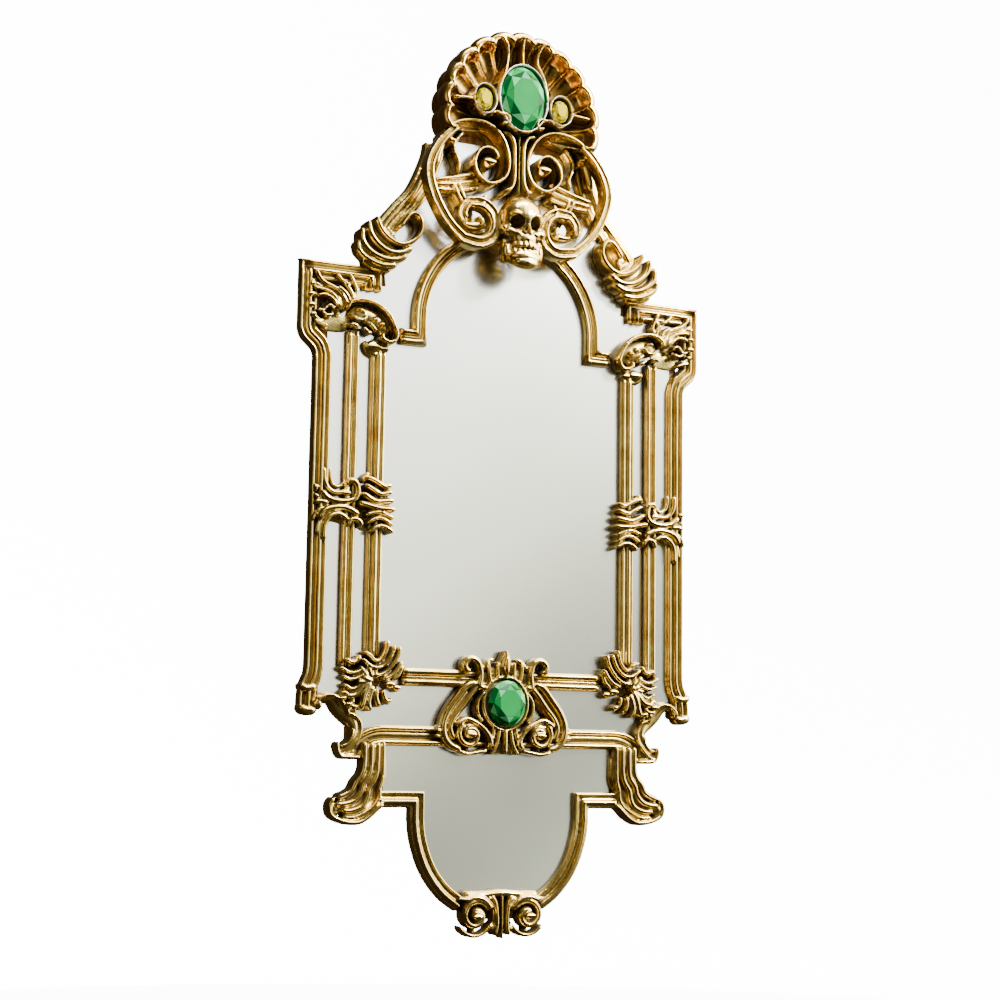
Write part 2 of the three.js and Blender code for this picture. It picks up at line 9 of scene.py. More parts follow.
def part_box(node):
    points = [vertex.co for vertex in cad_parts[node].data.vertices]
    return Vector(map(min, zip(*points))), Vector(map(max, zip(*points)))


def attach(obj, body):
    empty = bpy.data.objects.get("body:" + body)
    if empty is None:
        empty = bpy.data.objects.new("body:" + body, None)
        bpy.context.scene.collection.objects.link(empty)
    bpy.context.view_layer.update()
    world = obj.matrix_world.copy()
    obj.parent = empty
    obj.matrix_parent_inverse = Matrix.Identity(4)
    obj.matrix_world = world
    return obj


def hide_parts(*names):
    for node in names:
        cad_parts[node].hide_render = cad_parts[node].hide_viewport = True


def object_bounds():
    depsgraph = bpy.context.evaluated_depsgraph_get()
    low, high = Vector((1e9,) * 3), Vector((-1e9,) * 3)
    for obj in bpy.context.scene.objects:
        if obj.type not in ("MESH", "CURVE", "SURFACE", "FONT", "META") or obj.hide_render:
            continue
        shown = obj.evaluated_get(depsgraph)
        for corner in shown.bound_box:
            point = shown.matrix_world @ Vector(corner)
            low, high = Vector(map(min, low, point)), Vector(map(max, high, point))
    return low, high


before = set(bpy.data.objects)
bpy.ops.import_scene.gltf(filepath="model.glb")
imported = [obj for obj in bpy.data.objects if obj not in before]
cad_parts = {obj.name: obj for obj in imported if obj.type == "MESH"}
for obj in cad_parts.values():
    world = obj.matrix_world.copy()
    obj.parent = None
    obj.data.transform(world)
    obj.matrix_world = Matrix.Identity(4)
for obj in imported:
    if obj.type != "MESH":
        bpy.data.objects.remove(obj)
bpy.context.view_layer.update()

# ---- Camera ----
# It stands to the left of the mirror and below its middle, and looks up at it with a slight roll.
# Places are in millimetres: across from the centre line, up from the lowest point, and out from the wall.
MM = 0.001
foot_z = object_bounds()[0].z


def place(across, up, out):
    return Vector((across * MM, -out * MM, foot_z + up * MM))


def extent(node):
    """The box of a frame piece as (left, bottom, back), (right, top, front) in those millimetres."""
    low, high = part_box(node)
    return ((low.x / MM, (low.z - foot_z) / MM, -high.y / MM),
            (high.x / MM, (high.z - foot_z) / MM, -low.y / MM))


crown_out = extent("outer_stile_right")[1][2]
YAW, PITCH, ROLL = math.radians(-25.0), math.radians(-7.912), math.radians(0.864)
DISTANCE = 2.518
target = place(-10.4, 567.1, crown_out)
backward = Vector((math.sin(YAW) * math.cos(PITCH), -math.cos(YAW) * math.cos(PITCH), math.sin(PITCH)))
bpy.ops.object.camera_add(location=target + backward * DISTANCE)
camera = bpy.context.object
camera.rotation_mode = "QUATERNION"
camera.rotation_quaternion = backward.to_track_quat("Z", "Y")
camera.data.lens = 68.72
camera.data.sensor_width = 36.0
camera.data.clip_end = 100.0
bpy.context.view_layer.update()
camera.matrix_world = camera.matrix_world @ Matrix.Rotation(ROLL, 4, "Z")
bpy.context.scene.camera = camera

# ---- Mirror plates ----
# Silvered plate glass, each piece cut to the opening that it lies in. The silver is a clean cool grey with
# the faintest clouding, and its haze softens what the plates reflect.


def linear(hex_colour):
    """An sRGB hex colour as linear RGBA."""
    parts = [int(hex_colour[k:k + 2], 16) / 255 for k in (1, 3, 5)]
    return [c / 12.92 if c <= 0.04045 else ((c + 0.055) / 1.055) ** 2.4 for c in parts] + [1.0]


def node(mat, kind, sets=None, links=None):
    """Adds one shader node, sets its properties or sockets, and links sockets from (node, output) pairs."""
    made = mat.node_tree.nodes.new(kind)
    for key, value in (sets or {}).items():
        if isinstance(key, str) and hasattr(made, key):
            setattr(made, key, value)
        else:
            made.inputs[key].default_value = value
    for key, (source, output) in (links or {}).items():
        mat.node_tree.links.new(source.outputs[output], made.inputs[key])
    return made


def material(name):
    made = bpy.data.materials.new(name)
    made.use_nodes = True
    made.node_tree.nodes.clear()
    node(made, "ShaderNodeTexCoord")
    return made


def placed(mat, kind, sets):
    """Adds a texture or mapping that works in the piece's own coordinates."""
    return node(mat, kind, sets, {"Vector": (mat.node_tree.nodes[0], "Object")})


def tones(mat, source, *stops):
    """Adds a colour ramp with its stops, each a place along the ramp and a colour."""
    ramp = node(mat, "ShaderNodeValToRGB", links={"Fac": source})
    marks = ramp.color_ramp.elements
    for at, _ in stops[1:-1]:
        marks.new(at)
    for mark, (at, tone) in zip(marks, stops):
        mark.position, mark.color = at, linear(tone) if isinstance(tone, str) else tone
    return ramp


def finish_with(mat, sets, links):
    shader = node(mat, "ShaderNodeBsdfPrincipled", sets, links)
    node(mat, "ShaderNodeOutputMaterial", links={"Surface": (shader, "BSDF")})
    return mat


def give(names, look):
    for name in names:
        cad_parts[name].data.materials.clear()
        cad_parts[name].data.materials.append(look)


silvered = material("silvered_plate_glass")
cloud = placed(silvered, "ShaderNodeTexNoise", {"Scale": 3.0, "Detail": 2.0})
tint = tones(silvered, (cloud, "Fac"), (0, "#d9dad3"), (1, "#e9e9e4"))
haze = node(silvered, "ShaderNodeMapRange", {"To Min": 0.17, "To Max": 0.22}, {"Value": (cloud, "Fac")})
finish_with(silvered, {"Metallic": 1.0}, {"Base Color": (tint, "Color"), "Roughness": (haze, "Result")})
plates = [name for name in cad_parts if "_plate" in name]
give(plates, silvered)

# ---- Boards, battens and brace ----
# Sawn pine plywood behind the plates, sanded and left bare, with its grain running up each piece.
pine = material("sanded_pine_plywood")
stretch = placed(pine, "ShaderNodeMapping", {"Scale": (38.0, 38.0, 2.2)})
grain = node(pine, "ShaderNodeTexNoise", {"Scale": 3.0, "Detail": 6.0, "Distortion": 0.8},
             {"Vector": (stretch, "Vector")})
wood_tone = tones(pine, (grain, "Fac"), (0.32, "#8a6338"), (0.68, "#c79c66"))
grain_bump = node(pine, "ShaderNodeBump", {"Strength": 0.25, "Distance": 0.0008}, {"Height": (grain, "Fac")})
finish_with(pine, {"Roughness": 0.72}, {"Base Color": (wood_tone, "Color"), "Normal": (grain_bump, "Normal")})
boards = ["side_board_right", "side_board_left", "back_cover", "crest_board", "lower_board",
          "batten_right", "batten_left", "crest_brace"]
give(boards, pine)

# ---- Inner and middle bars ----
# Straight gilded mouldings, worked with reeds along the top. Each is a section of (side, height) points that
# is carried along a line of (across, up) points. Burnished gold leaf lies over the carved wood, with painted
# umber shade in the hollows and a painted highlight, pale and bright, along the edges and on the thin lips.


def gilding(name, low_tone, high_tone, painted_highlight_tone, reach=0.014, painted_shade_tone="#352613"):
    """Gold leaf between two tones, with painted umber shade in its hollows and a painted highlight on its
    edges and thin lips. reach is how far from a wall, in metres, the painted shade still gathers.
    """
    made = material(name)
    # Painted shade: ambient occlusion darkens the leaf towards an umber tone in hollows and between parts.
    hollow = node(made, "ShaderNodeAmbientOcclusion", {"samples": 8, "Distance": reach})
    painted_shade = node(made, "ShaderNodeMapRange", {"From Min": 0.25, "From Max": 0.8}, {"Value": (hollow, "AO")})
    # Painted highlight: thin lips and convex edges turn pale and bright.
    edge = node(made, "ShaderNodeAmbientOcclusion", {"samples": 6, "inside": True, "Distance": 0.0035})
    painted_highlight = node(made, "ShaderNodeMapRange", {"From Min": 0.6, "From Max": 0.2}, {"Value": (edge, "AO")})
    leaf_tone = placed(made, "ShaderNodeTexNoise", {"Scale": 38.0, "Detail": 4.0, "Roughness": 0.6})
    gold = tones(made, (leaf_tone, "Fac"), (0.3, low_tone), (0.7, high_tone))
    bright = node(made, "ShaderNodeMix", {"data_type": "RGBA", 7: linear(painted_highlight_tone)},
                  {0: (painted_highlight, "Result"), 6: (gold, "Color")})
    toned = node(made, "ShaderNodeMix", {"data_type": "RGBA", 6: linear(painted_shade_tone)},
                 {0: (painted_shade, "Result"), 7: (bright, 2)})
    rough = node(made, "ShaderNodeMapRange", {"To Min": 0.5, "To Max": 0.2}, {"Value": (painted_shade, "Result")})
    metal = node(made, "ShaderNodeMapRange", {"From Max": 0.7, "To Min": 0.3, "To Max": 1.0},
                 {"Value": (painted_shade, "Result")})
    dents = placed(made, "ShaderNodeTexNoise", {"Scale": 160.0, "Detail": 3.0})
    dent_bump = node(made, "ShaderNodeBump", {"Strength": 0.1, "Distance": 0.0015},
                     {"Height": (dents, "Fac")})
    return finish_with(made, {}, {"Base Color": (toned, 2), "Roughness": (rough, "Result"),
                                  "Metallic": (metal, "Result"), "Normal": (dent_bump, "Normal")})


gilt = gilding("burnished_gold_leaf", "#b08c3c", "#dcc068", "#ffe67c")
give([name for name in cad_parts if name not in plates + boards], gilt)


def run(points, gap=7.0):
    """The same line with its straights divided, so that a long reed can waver a little."""
    made = [points[0]]
    for (x0, z0), (x1, z1) in zip(points, points[1:]):
        steps = max(1, round(math.hypot(x1 - x0, z1 - z0) / gap))
        made += [(x0 + (x1 - x0) * k / steps, z0 + (z1 - z0) * k / steps) for k in range(1, steps + 1)]
    return made


def spline(points, gap=2.5):
    """A smooth line through the points, about one point every gap."""
    ends = [points[0], *points, points[-1]]
    made = [points[0]]
    for before, start, end, after in zip(ends, ends[1:], ends[2:], ends[3:]):
        steps = max(1, round(math.dist(start[:2], end[:2]) / gap))
        for k in range(1, steps + 1):
            t = k / steps
            made.append(tuple(
                0.5 * (2 * b + (c - a) * t + (2 * a - 5 * b + 4 * c - d) * t * t + (3 * b - a - 3 * c + d)
                       * t ** 3)
                for a, b, c, d in zip(before, start, end, after)))
    return made


def arc(across, up, radius, start, end, steps=16, high=None):
    """Points round a circle or an oval, in degrees counted from the right."""
    turns = [math.radians(start + (end - start) * k / steps) for k in range(steps + 1)]
    return [(across + radius * math.cos(a), up + (high or radius) * math.sin(a)) for a in turns]


def curl(across, up, outer, inner, start, end, steps=28):
    """Points along a volute that winds in from its outer radius to its inner one."""
    made = []
    for k in range(steps + 1):
        a = math.radians(start + (end - start) * k / steps)
        r = outer + (inner - outer) * (k / steps) ** 0.85
        made.append((across + r * math.cos(a), up + r * math.sin(a)))
    return made


def left_at(line, k):
    """The direction to the left of travel at a point, stretched so that a corner is mitred."""
    here = Vector(line[k][:2])
    before = (here - Vector(line[k - 1][:2])).normalized() if k else None
    after = (Vector(line[k + 1][:2]) - here).normalized() if k + 1 < len(line) else None
    before, after = before or after, after or before
    along = (before + after).normalized()
    return Vector((-along.y, along.x)) / max(along.dot(before), 0.6)


def round_top(side):
    """A section with upright sides as high as side, and a round top."""
    turns = [math.pi * k / 10 for k in range(11)]
    return [(1.0, 0.0), *[(math.cos(a), side + (1 - side) * math.sin(a)) for a in turns], (-1.0, 0.0)]


LIP, DOME = round_top(0.62), round_top(0.5)


def reeded(*reeds, side=0.42, dip=0.13):
    """A section from edge to edge: upright sides, then reeds given by their share of the width and height."""
    total = sum(share for share, _ in reeds)
    made, x, floor = [(1.0, 0.0), (1.0, side)], 1.0, side
    for k, (share, high) in enumerate(reeds):
        width = 2 * share / total
        after = min(high, reeds[k + 1][1]) - dip if k + 1 < len(reeds) else side
        for step in range(1, 8):
            a = math.pi * step / 8
            low = floor + (after - floor) * step / 8
            made.append((x - width / 2 + width / 2 * math.cos(a) * 0.96,
                         low + (high - low) * math.sin(a) ** 0.8))
        x -= width
        made.append((x, after))
        floor = after
    made[-1] = (-1.0, side)
    return [*made, (-1.0, 0.0)]


def skin(built, rings):
    """Closes a row of rings of vertices into a solid."""
    for near, far in zip(rings, rings[1:]):
        for k in range(len(near)):
            built.faces.new((near[k - 1], near[k], far[k], far[k - 1]))
    built.faces.new(reversed(rings[0]))
    built.faces.new(rings[-1])


def strip(built, line, width, top, base, section=LIP, tips=(0.6, 0.6)):
    """Carries a section along a line, from the depth of its base up to its top. A point may give its own
    width and top after its place. tips says how far from each end it swells to full width, in widths."""
    lengths = [0.0]
    for a, b in zip(line, line[1:]):
        lengths.append(lengths[-1] + math.dist(a[:2], b[:2]))
    rings = []
    for k, point in enumerate(line):
        wide = point[2] if len(point) > 2 else width
        high = point[3] if len(point) > 3 else top
        swell = 1.0
        for gone, tip in ((lengths[k], tips[0]), (lengths[-1] - lengths[k], tips[1])):
            if tip and gone < tip * wide:
                swell = min(swell, math.sqrt(max(0.04, 1 - (1 - gone / (tip * wide)) ** 2)))
        left = left_at(line, k) * wide / 2 * swell
        rise = (high - base) - (1 - swell) * min(high - base, wide) * 0.5
        rings.append([built.verts.new(place(point[0] + left.x * side, point[1] + left.y * side,
                                            base + up * rise))
                      for side, up in section])
    skin(built, rings)


# The carver's waver is the same each time.
noise.seed_set(7)


def waver(built, amount):
    """Moves the surface in and out by a fraction of a millimetre, as a carver's tool leaves it."""
    for v in built.verts:
        v.co += noise.noise_vector(v.co * 30.0) * amount * MM


def select_only(*pieces):
    bpy.ops.object.select_all(action="DESELECT")
    for piece in pieces:
        piece.select_set(True)
    bpy.context.view_layer.objects.active = pieces[0]


def object_of(name, built):
    mesh = bpy.data.meshes.new(name)
    built.to_mesh(mesh)
    piece = bpy.data.objects.new(name, mesh)
    bpy.context.collection.objects.link(piece)
    return piece


def piece_of(name, built, stands_for, look, body, sharp=None):
    """A finished piece. With sharp, edges over that angle in degrees stay crisp."""
    piece = object_of(name, built)
    piece.data.materials.append(look)
    select_only(piece)
    if sharp is None:
        bpy.ops.object.shade_smooth()
    else:
        bpy.ops.object.shade_smooth_by_angle(angle=math.radians(sharp))
    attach(piece, body)
    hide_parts(*stands_for)
    return piece


def pair_of(name, built, stands_for, look, bodies, sharp=None):
    """The piece on the right, and its mirror image on the left."""
    for side, body in zip(("_right", "_left"), bodies):
        piece_of(name + side, built, [n + side for n in stands_for], look, body, sharp)
        for v in built.verts:
            v.co.x = -v.co.x
        bmesh.ops.reverse_faces(built, faces=built.faces)


def run_together(piece, voxel, rounds):
    """Runs overlapping lobes together into one skin, and softens it."""
    remesh = piece.modifiers.new("fuse", "REMESH")
    remesh.mode = "VOXEL"
    remesh.voxel_size = voxel * MM
    soften = piece.modifiers.new("soften", "SMOOTH")
    soften.iterations = rounds
    select_only(piece)
    bpy.ops.object.modifier_apply(modifier="fuse")
    bpy.ops.object.modifier_apply(modifier="soften")


def finish_piece(name, built, stands_for, pair=True, voxel=None, rounds=2, hand=0.25, look=gilt):
    """Finishes a gilded moulding or carving. With a voxel size its lobes are fused, and hand is how far the
    carver's tool strays. A pair is made on the right and repeated on the left."""
    bmesh.ops.recalc_face_normals(built, faces=built.faces)
    if voxel:
        carving = object_of("carving", built)
        run_together(carving, voxel, rounds)
        built.clear()
        built.from_mesh(carving.data)
        bpy.data.objects.remove(carving)
    waver(built, hand)
    if pair:
        pair_of(name, built, [stands_for], look, ("mirror", "mirror"))
    else:
        piece_of(name, built, [stands_for], look, "mirror")
    built.free()


def moulding(name, stands_for, line, width, section, pair=True, top=crown_out, base=None):
    built = bmesh.new()
    strip(built, line, width, top, seat_out if base is None else base, section, (0, 0))
    finish_piece(name, built, stands_for, pair)


def middle_of(box, axis):
    return (box[0][axis] + box[1][axis]) / 2


glass_out = extent("main_plate")[1][2] + 0.2
inner_bar, middle_bar = extent("inner_bar_right"), extent("middle_bar_right")
seat_out = inner_bar[0][2]
inner_x, middle_x = middle_of(inner_bar, 0), middle_of(middle_bar, 0)
# The bars run on behind the clusters at their feet.
INNER_HIDDEN, MIDDLE_HIDDEN = 22, 16
moulding("inner_bar_moulding", "inner_bar",
         run([(inner_x, inner_bar[1][1]), (inner_x, inner_bar[0][1] - INNER_HIDDEN)]),
         inner_bar[1][0] - inner_bar[0][0], reeded((5, 0.72), (7, 1.0), (6, 0.9)))
TWO_REEDS = reeded((6, 0.95), (2, 0.72), (6, 0.95))
moulding("middle_bar_moulding", "middle_bar",
         run([(middle_x, middle_bar[1][1]), (middle_x, middle_bar[0][1] - MIDDLE_HIDDEN)]),
         middle_bar[1][0] - middle_bar[0][0], TWO_REEDS, top=crown_out - 0.5, base=glass_out)

# ---- Outer stiles and shoulder bars ----
# One deep moulding with a cove on its outer side. It turns down at the shoulder's inner end, runs out, is
# mitred into the stile, steps in by an ogee and flares out to a collared foot.
stile_low, stile_high = extent("outer_stile_right")
bar_low, bar_high = extent("shoulder_bar_right")
STILE_W, SHOULDER_W = 25.0, bar_high[1] - bar_low[1]
OGEE_DROP, FLARE_RISE = 75, 60
stile_x, shoulder_x = stile_low[0] + STILE_W / 2, stile_high[0] - STILE_W / 2
shoulder_up, shoulder_end = middle_of((bar_low, bar_high), 1), bar_low[0] + SHOULDER_W / 2
step_up, flare_up = shoulder_up - OGEE_DROP, stile_low[1] + FLARE_RISE
COVE = [(1, 0), (1, 0.42), (0.96, 0.62), (0.86, 0.78), (0.72, 0.8), (0.62, 0.7), (0.54, 0.56), (0.42, 0.5),
        (0.3, 0.58),
        (0.22, 0.78), (0.1, 0.94), (-0.02, 1.0), (-0.14, 0.95), (-0.24, 0.8), (-0.32, 0.62), (-0.4, 0.6),
        (-0.5, 0.7), (-0.62, 0.82), (-0.76, 0.78), (-0.86, 0.64), (-0.94, 0.48), (-1, 0.36), (-1, 0)]
corner = (shoulder_x, shoulder_up)
ogee = spline([(shoulder_x, step_up), (shoulder_x - 3, step_up - 7), (shoulder_x - 11, step_up - 14),
               (stile_x + 4, step_up - 22), (stile_x, step_up - 34)], 2.0)
flare = spline([(stile_x, flare_up), (stile_x + 2, flare_up - 12), (stile_x + 7, flare_up - 24),
                (stile_x + 9, flare_up - 40), (stile_x + 9, stile_low[1] + 9)], 2.0)
whole = run([(shoulder_end, bar_low[1] - 3), (shoulder_end, shoulder_up), corner, (shoulder_x, step_up)])
whole += ogee[1:] + run([ogee[-1], flare[0]])[1:] + flare[1:]
split = whole.index(corner)


def part_of_run(line, first, last, width, section):
    """Only the stretch from one point to another, so that two pieces share one mitre."""
    built = bmesh.new()
    sides = [left_at(line, k) * width / 2 for k in range(first, last + 1)]
    skin(built, [[built.verts.new(place(line[first + k][0] + left.x * side,
                                        line[first + k][1] + left.y * side,
                                        seat_out + high * (crown_out - seat_out))) for side, high in section]
                 for k, left in enumerate(sides)])
    return built


def lips(built, base, table):
    """Carved lips that stand side by side, each a (width, top above the moulding's crown, points) row."""
    for width, above, points in table:
        strip(built, spline(points), width, crown_out + above, base)


finish_piece("shoulder_moulding", part_of_run(whole, 0, split, SHOULDER_W, COVE), "shoulder_bar")
built = part_of_run(whole, split, len(whole) - 1, STILE_W, COVE)
lips(built, seat_out, [
    (13, 1, [(281, 291), (274, 286), (264, 285), (257, 289)]), (8, 2, [(258, 300), (254, 293), (255, 286)]),
    (11, 1.5, [(281, 317), (270, 312), (257, 316)])])
finish_piece("outer_stile_moulding", built, "outer_stile")

# ---- Arch moulding ----
# Two halves of a reeded arch that meet behind the skull, each with a level ledge that runs out to its spring.
arch_low, arch_high = extent("arch_moulding_right")
ARCH_W, SPRING_DROP = 21.0, 47
spring_up, ledge_up = shoulder_up - SPRING_DROP, arch_low[1] + ARCH_W / 2
arch_r = arch_high[1] - ARCH_W / 2 - spring_up
moulding("arch_reeded_moulding", "arch_moulding",
         run([(arch_high[0], ledge_up), (arch_r, ledge_up), (arch_r, spring_up)])
         + arc(0, spring_up, arch_r, 0, 90, 40)[1:], ARCH_W, reeded((7, 0.9), (3, 0.7), (8, 1.0)))

# ---- Rails ----
# The upper rail is straight and has two reeds. The lower one has three, and turns down at both ends.
rail = extent("upper_rail")
upper_rail_up = middle_of(rail, 1)
moulding("upper_rail_moulding", "upper_rail", run([(rail[0][0], upper_rail_up), (rail[1][0], upper_rail_up)]),
         rail[1][1] - rail[0][1], TWO_REEDS, pair=False)
LOWER_W = 26.0
lower_rail_up = extent("lower_rail")[1][1] - LOWER_W / 2
turn_down = spline([(inner_x - 16, lower_rail_up), (inner_x - 2, lower_rail_up - 3),
                    (inner_x + 12, lower_rail_up - 11),
                    (inner_x + 22, lower_rail_up - 22)], 2.5)
whole_rail = [(-x, z) for x, z in reversed(turn_down)] + run([(16 - inner_x, lower_rail_up),
                                                              turn_down[0]])[1:] + turn_down[1:]
moulding("lower_rail_moulding", "lower_rail", whole_rail, LOWER_W, reeded((7, 0.88), (8, 0.6), (8, 1.0)),
         pair=False)

# ---- Raked bars ----
# Two reeded bars that lean in from the shoulders to the shell, each bound near its foot by a clasp of stacked
# bands, whose innermost band turns up into an open ring.
SHELL_UP, SHELL_BASE = shoulder_up + 238, shoulder_up + 203
RAKED_W = 30
raked = spline([(112, SHELL_BASE - 12), (116, SHELL_BASE - 34), (136, shoulder_up + 122),
                (160, shoulder_up + 92),
                (179, shoulder_up + 66), (188, shoulder_up + 36), (188, bar_high[1] + 1)], 4.0)
built = bmesh.new()
strip(built, raked, RAKED_W, crown_out, seat_out, reeded((5, 0.8), (7, 1.0), (6, 0.72), (6, 0.9)), (0, 0))
lips(built, glass_out, [
    (56, 4, [(189, 918), (189, 900), (188, 880), (188, 862)]),
    (8, 15, [(198, 925), (191, 909), (180, 898), (163, 892), (147, 898), (136, 911), (134, 925), (141, 935),
             (150, 934),
             (158, 925), (165, 914)]),
    (10, 15, [(209, 918), (205, 901), (194, 888), (178, 880), (161, 881), (146, 890)]),
    (10, 13, [(216, 908), (216, 892), (206, 879), (188, 871), (168, 871), (153, 879)]),
    (9, 10, [(221, 892), (219, 878), (206, 868), (187, 862), (166, 864)]),
    (7, 6, [(213, 866), (197, 858), (174, 856)])])
finish_piece("raked_bar_clasped", built, "raked_bar", voxel=1.25, hand=0.2)

# ---- Corner leaves ----
# A leaf fills the shoulder's corner, and a C-scroll hangs from it as the capital of the two inner bars. Both
# are carved as lips that stand side by side, with beads between them.


def balls(built, base, table):
    """Carved beads and knobs, each an (across, up, radius, top above the moulding's crown) row."""
    for across, up, radius, above in table:
        strip(built, [(across - radius * 0.98, up),
                      *[(across + radius * math.cos(a), up, 2 * radius * math.sin(a))
                      for a in (math.radians(t) for t in range(165, 10, -15))], (across + radius * 0.98, up)],
              radius * 0.5, crown_out + above, base, DOME, (0, 0))


built = bmesh.new()
lips(built, glass_out, [
    (24, -11, [(270, 784), (254, 782), (240, 782), (222, 783)]),
    (14, -9, [(262, 806), (250, 800), (238, 795)]),
    (16, -9, [(276, 824), (258, 822), (244, 812)]), (8, -1, [(226, 838), (231, 824), (230, 812)]),
    (6, 6, [(275, 846), (271, 837), (263, 830), (252, 826), (243, 821), (236, 812), (233, 803)]),
    (6, 2, [(281, 834), (273, 828), (262, 823), (250, 818), (241, 810), (237, 800)]),
    (5, 4, [(278, 822), (268, 822), (255, 819), (246, 811), (241, 800)]),
    (5, 6, [(247, 844), (242, 837), (236, 834), (231, 831)]),
    (6, 7, [(246, 827), (238, 822), (232, 815), (229, 807)]),
    (6, 4, [(237, 833), (230, 827), (225, 819), (224, 811)]),
    (5, 3, [(229, 846), (223, 836), (219, 825), (222, 815)]),
    (5, 6, [(274, 811), (268, 814), (260, 814), (251, 809), (245, 801)]),
    (4, 7, [(273, 795), (266, 793), (262, 797), (258, 801), (253, 800), (250, 795)]),
    (4, 7, [(266, 791), (261, 788), (256, 788), (251, 791)]),
    (5, 3, [(282, 786), (275, 785), (268, 781), (262, 781)]), (4, 4, [(276, 780), (266, 777), (257, 774)])])
balls(built, glass_out, [(279, 828, 4, 4), (280, 814, 4.5, 4), (279, 800, 5, 4), (277, 788, 4, 4)])
lips(built, seat_out, [
    (24, 0, [(228, 795), (212, 796), (196, 792), (182, 782), (175, 770)]),
    (6.5, 11, [(234, 797), (230, 806), (222, 811), (210, 812.5), (196, 810), (185, 805), (175, 796),
               (168, 784), (164, 772),
               (168, 763), (176, 761), (184, 765), (184, 772)]),
    (4, 7, [(225, 790), (217, 787), (209, 788), (206, 794)]), (4, 4, [(220, 800), (213, 801), (207, 797)]),
    (6, 8, [(203, 784), (197, 779), (192, 773)]), (5, 5, [(209, 778), (203, 773), (197, 771)]),
    (6, 6, [(229, 778), (222, 780), (216, 776)]), (9, -2, [(204, 762), (200, 750), (190, 745), (178, 746)])])
balls(built, seat_out, [(193, 790, 3.5, 6), (184, 784, 4, 7), (193, 755, 9, 2), (180, 753, 8, 1)])
finish_piece("corner_leaf_carved", built, "corner_leaf", voxel=1.0, hand=0.15)

# ---- Mid clasps ----
# A carved tie across the three bars: the stile's inner reeds turn in a U to the middle bar above and below,
# and stacked lips wrap the inner bar.
built = bmesh.new()
lips(built, glass_out, [
    (20, -10, [(256, 532), (240, 534), (222, 530), (208, 526)]),
    (14, -8, [(264, 546), (240, 546), (215, 546), (200, 545)]),
    (16, -10, [(205, 560), (203, 540), (198, 515)]),
    (4.5, -3, [(247, 592), (246.5, 580), (243, 572), (237, 569), (231, 570), (227, 576)]),
    (6.5, 1, [(256, 592), (255, 576), (250, 566), (242, 561), (233, 561), (226, 564), (222, 570)]),
    (8.5, 6, [(260, 562), (254, 555), (246, 551), (236, 549.5), (226, 550), (216, 553), (211, 560),
              (211, 568), (214, 575),
            (220, 577), (225, 572)]),
    (5, 2, [(268, 570), (266, 560)]), (5, 2, [(269, 557), (262, 552)]),
    (7, 3, [(269, 546), (260, 548), (249, 546)]),
    (5, 1, [(270, 522), (266, 533), (257, 540), (246, 543)]),
    (8.5, 5, [(262, 524), (257, 534), (248, 539.5), (235, 542), (223, 541), (214, 537), (208, 533)]),
    (5, 0, [(263, 506), (261, 520), (255, 530), (246, 535.5)]),
    (7.5, 4, [(254.5, 498), (254, 516), (250, 526), (242, 532), (234, 533), (226, 529), (223, 526)]),
    (7.5, 6, [(224, 517), (221, 525), (214, 528), (207, 525), (205, 518)])])
balls(built, glass_out, [(225, 561, 5.5, 2), (266, 566, 4, 2)])
lips(built, seat_out, [
    (34, -6, [(181, 580), (181, 514)]), (5, 4, [(196, 589), (202, 582), (203, 576)]),
    (7.5, 8, [(202, 582), (194, 581), (184, 576.5), (175, 572), (165, 575)]),
    (7.5, 8, [(202, 573), (190, 567), (180, 562), (164, 566)]),
    (9, 9, [(205, 562), (196, 556), (184, 552), (162, 555)]),
    (8.5, 10, [(210, 549), (196, 546), (182, 543.5), (160, 543)]),
    (6.5, 8, [(200, 534), (187, 538), (175, 537), (162, 531)]),
    (6.5, 8, [(198, 523), (187, 530), (176, 530), (163, 522)]),
    (7, 8, [(195, 512), (184, 520), (173, 520), (162, 513)])])
finish_piece("mid_clasp_carved", built, "mid_clasp", voxel=1.0, hand=0.15)

# ---- Lower clusters ----
# Where the bars meet the rail: U-shaped lips under the inner bar, a stack of lips on the left, a leaf that
# fans down, and below it the bracket that scrolls out to the stile and down to the foot of the lower rail.
low_board = extent("lower_board")[1][2]
built = bmesh.new()
lips(built, low_board, [
    (46, -11, [(196, 356), (190, 330), (192, 306)]), (30, -10, [(174, 366), (168, 345), (170, 322)]),
    (8.5, 7, [(203, 342), (197, 334), (191, 326)]), (8.5, 8, [(192, 344), (190, 336), (186, 327)]),
    (7, 7, [(181, 341), (182, 334), (181, 326)]), (9.5, 8, [(200, 329), (192, 325), (184, 324)]),
    (26, -8, [(215, 344), (208, 322), (204, 300)]), (20, -6, [(214, 300), (212, 285)]),
    (6.5, 8, [(198, 360), (190, 356), (184, 350), (177, 350), (170, 358), (167, 368), (166, 376)]),
    (6.5, 9, [(200, 351), (193, 345), (185, 341), (175, 342), (166, 349), (160, 359), (157, 370)]),
    (6.5, 8, [(185, 331), (175, 332), (165, 338), (155, 350), (150, 362), (151, 369)]),
    (6.5, 6, [(172, 326), (160, 331), (152, 339), (145, 350)]), (6, 3, [(157, 325), (149, 332), (143, 345)]),
    (7, 7, [(222, 351), (214, 346), (206, 349), (203, 356)]),
    (6, 7, [(229, 340), (218, 334), (208, 334), (197, 339)]),
    (6, 7, [(226, 329), (216, 325), (206, 327), (196, 333)]),
    (6, 6, [(224, 319), (213, 313), (203, 317), (194, 327)]),
    (9.5, 7, [(190, 325), (199, 314), (209, 305), (221, 304)]),
    (9.5, 9, [(188, 322), (195, 308), (198, 295), (202, 287)]),
    (8.5, 8, [(184, 318), (189, 304), (190, 293), (186, 286)]),
    (8.5, 7, [(179, 315), (180, 302), (175, 291)]),
    (7, 7, [(171, 314), (169, 303), (163, 298), (160, 303)]), (6, 5, [(208, 299), (214, 294), (218, 287)])])
balls(built, low_board, [(161, 320, 6.5, 5), (151, 316, 5.5, 3), (222, 308, 4.5, 4), (200, 322, 5, 7)])
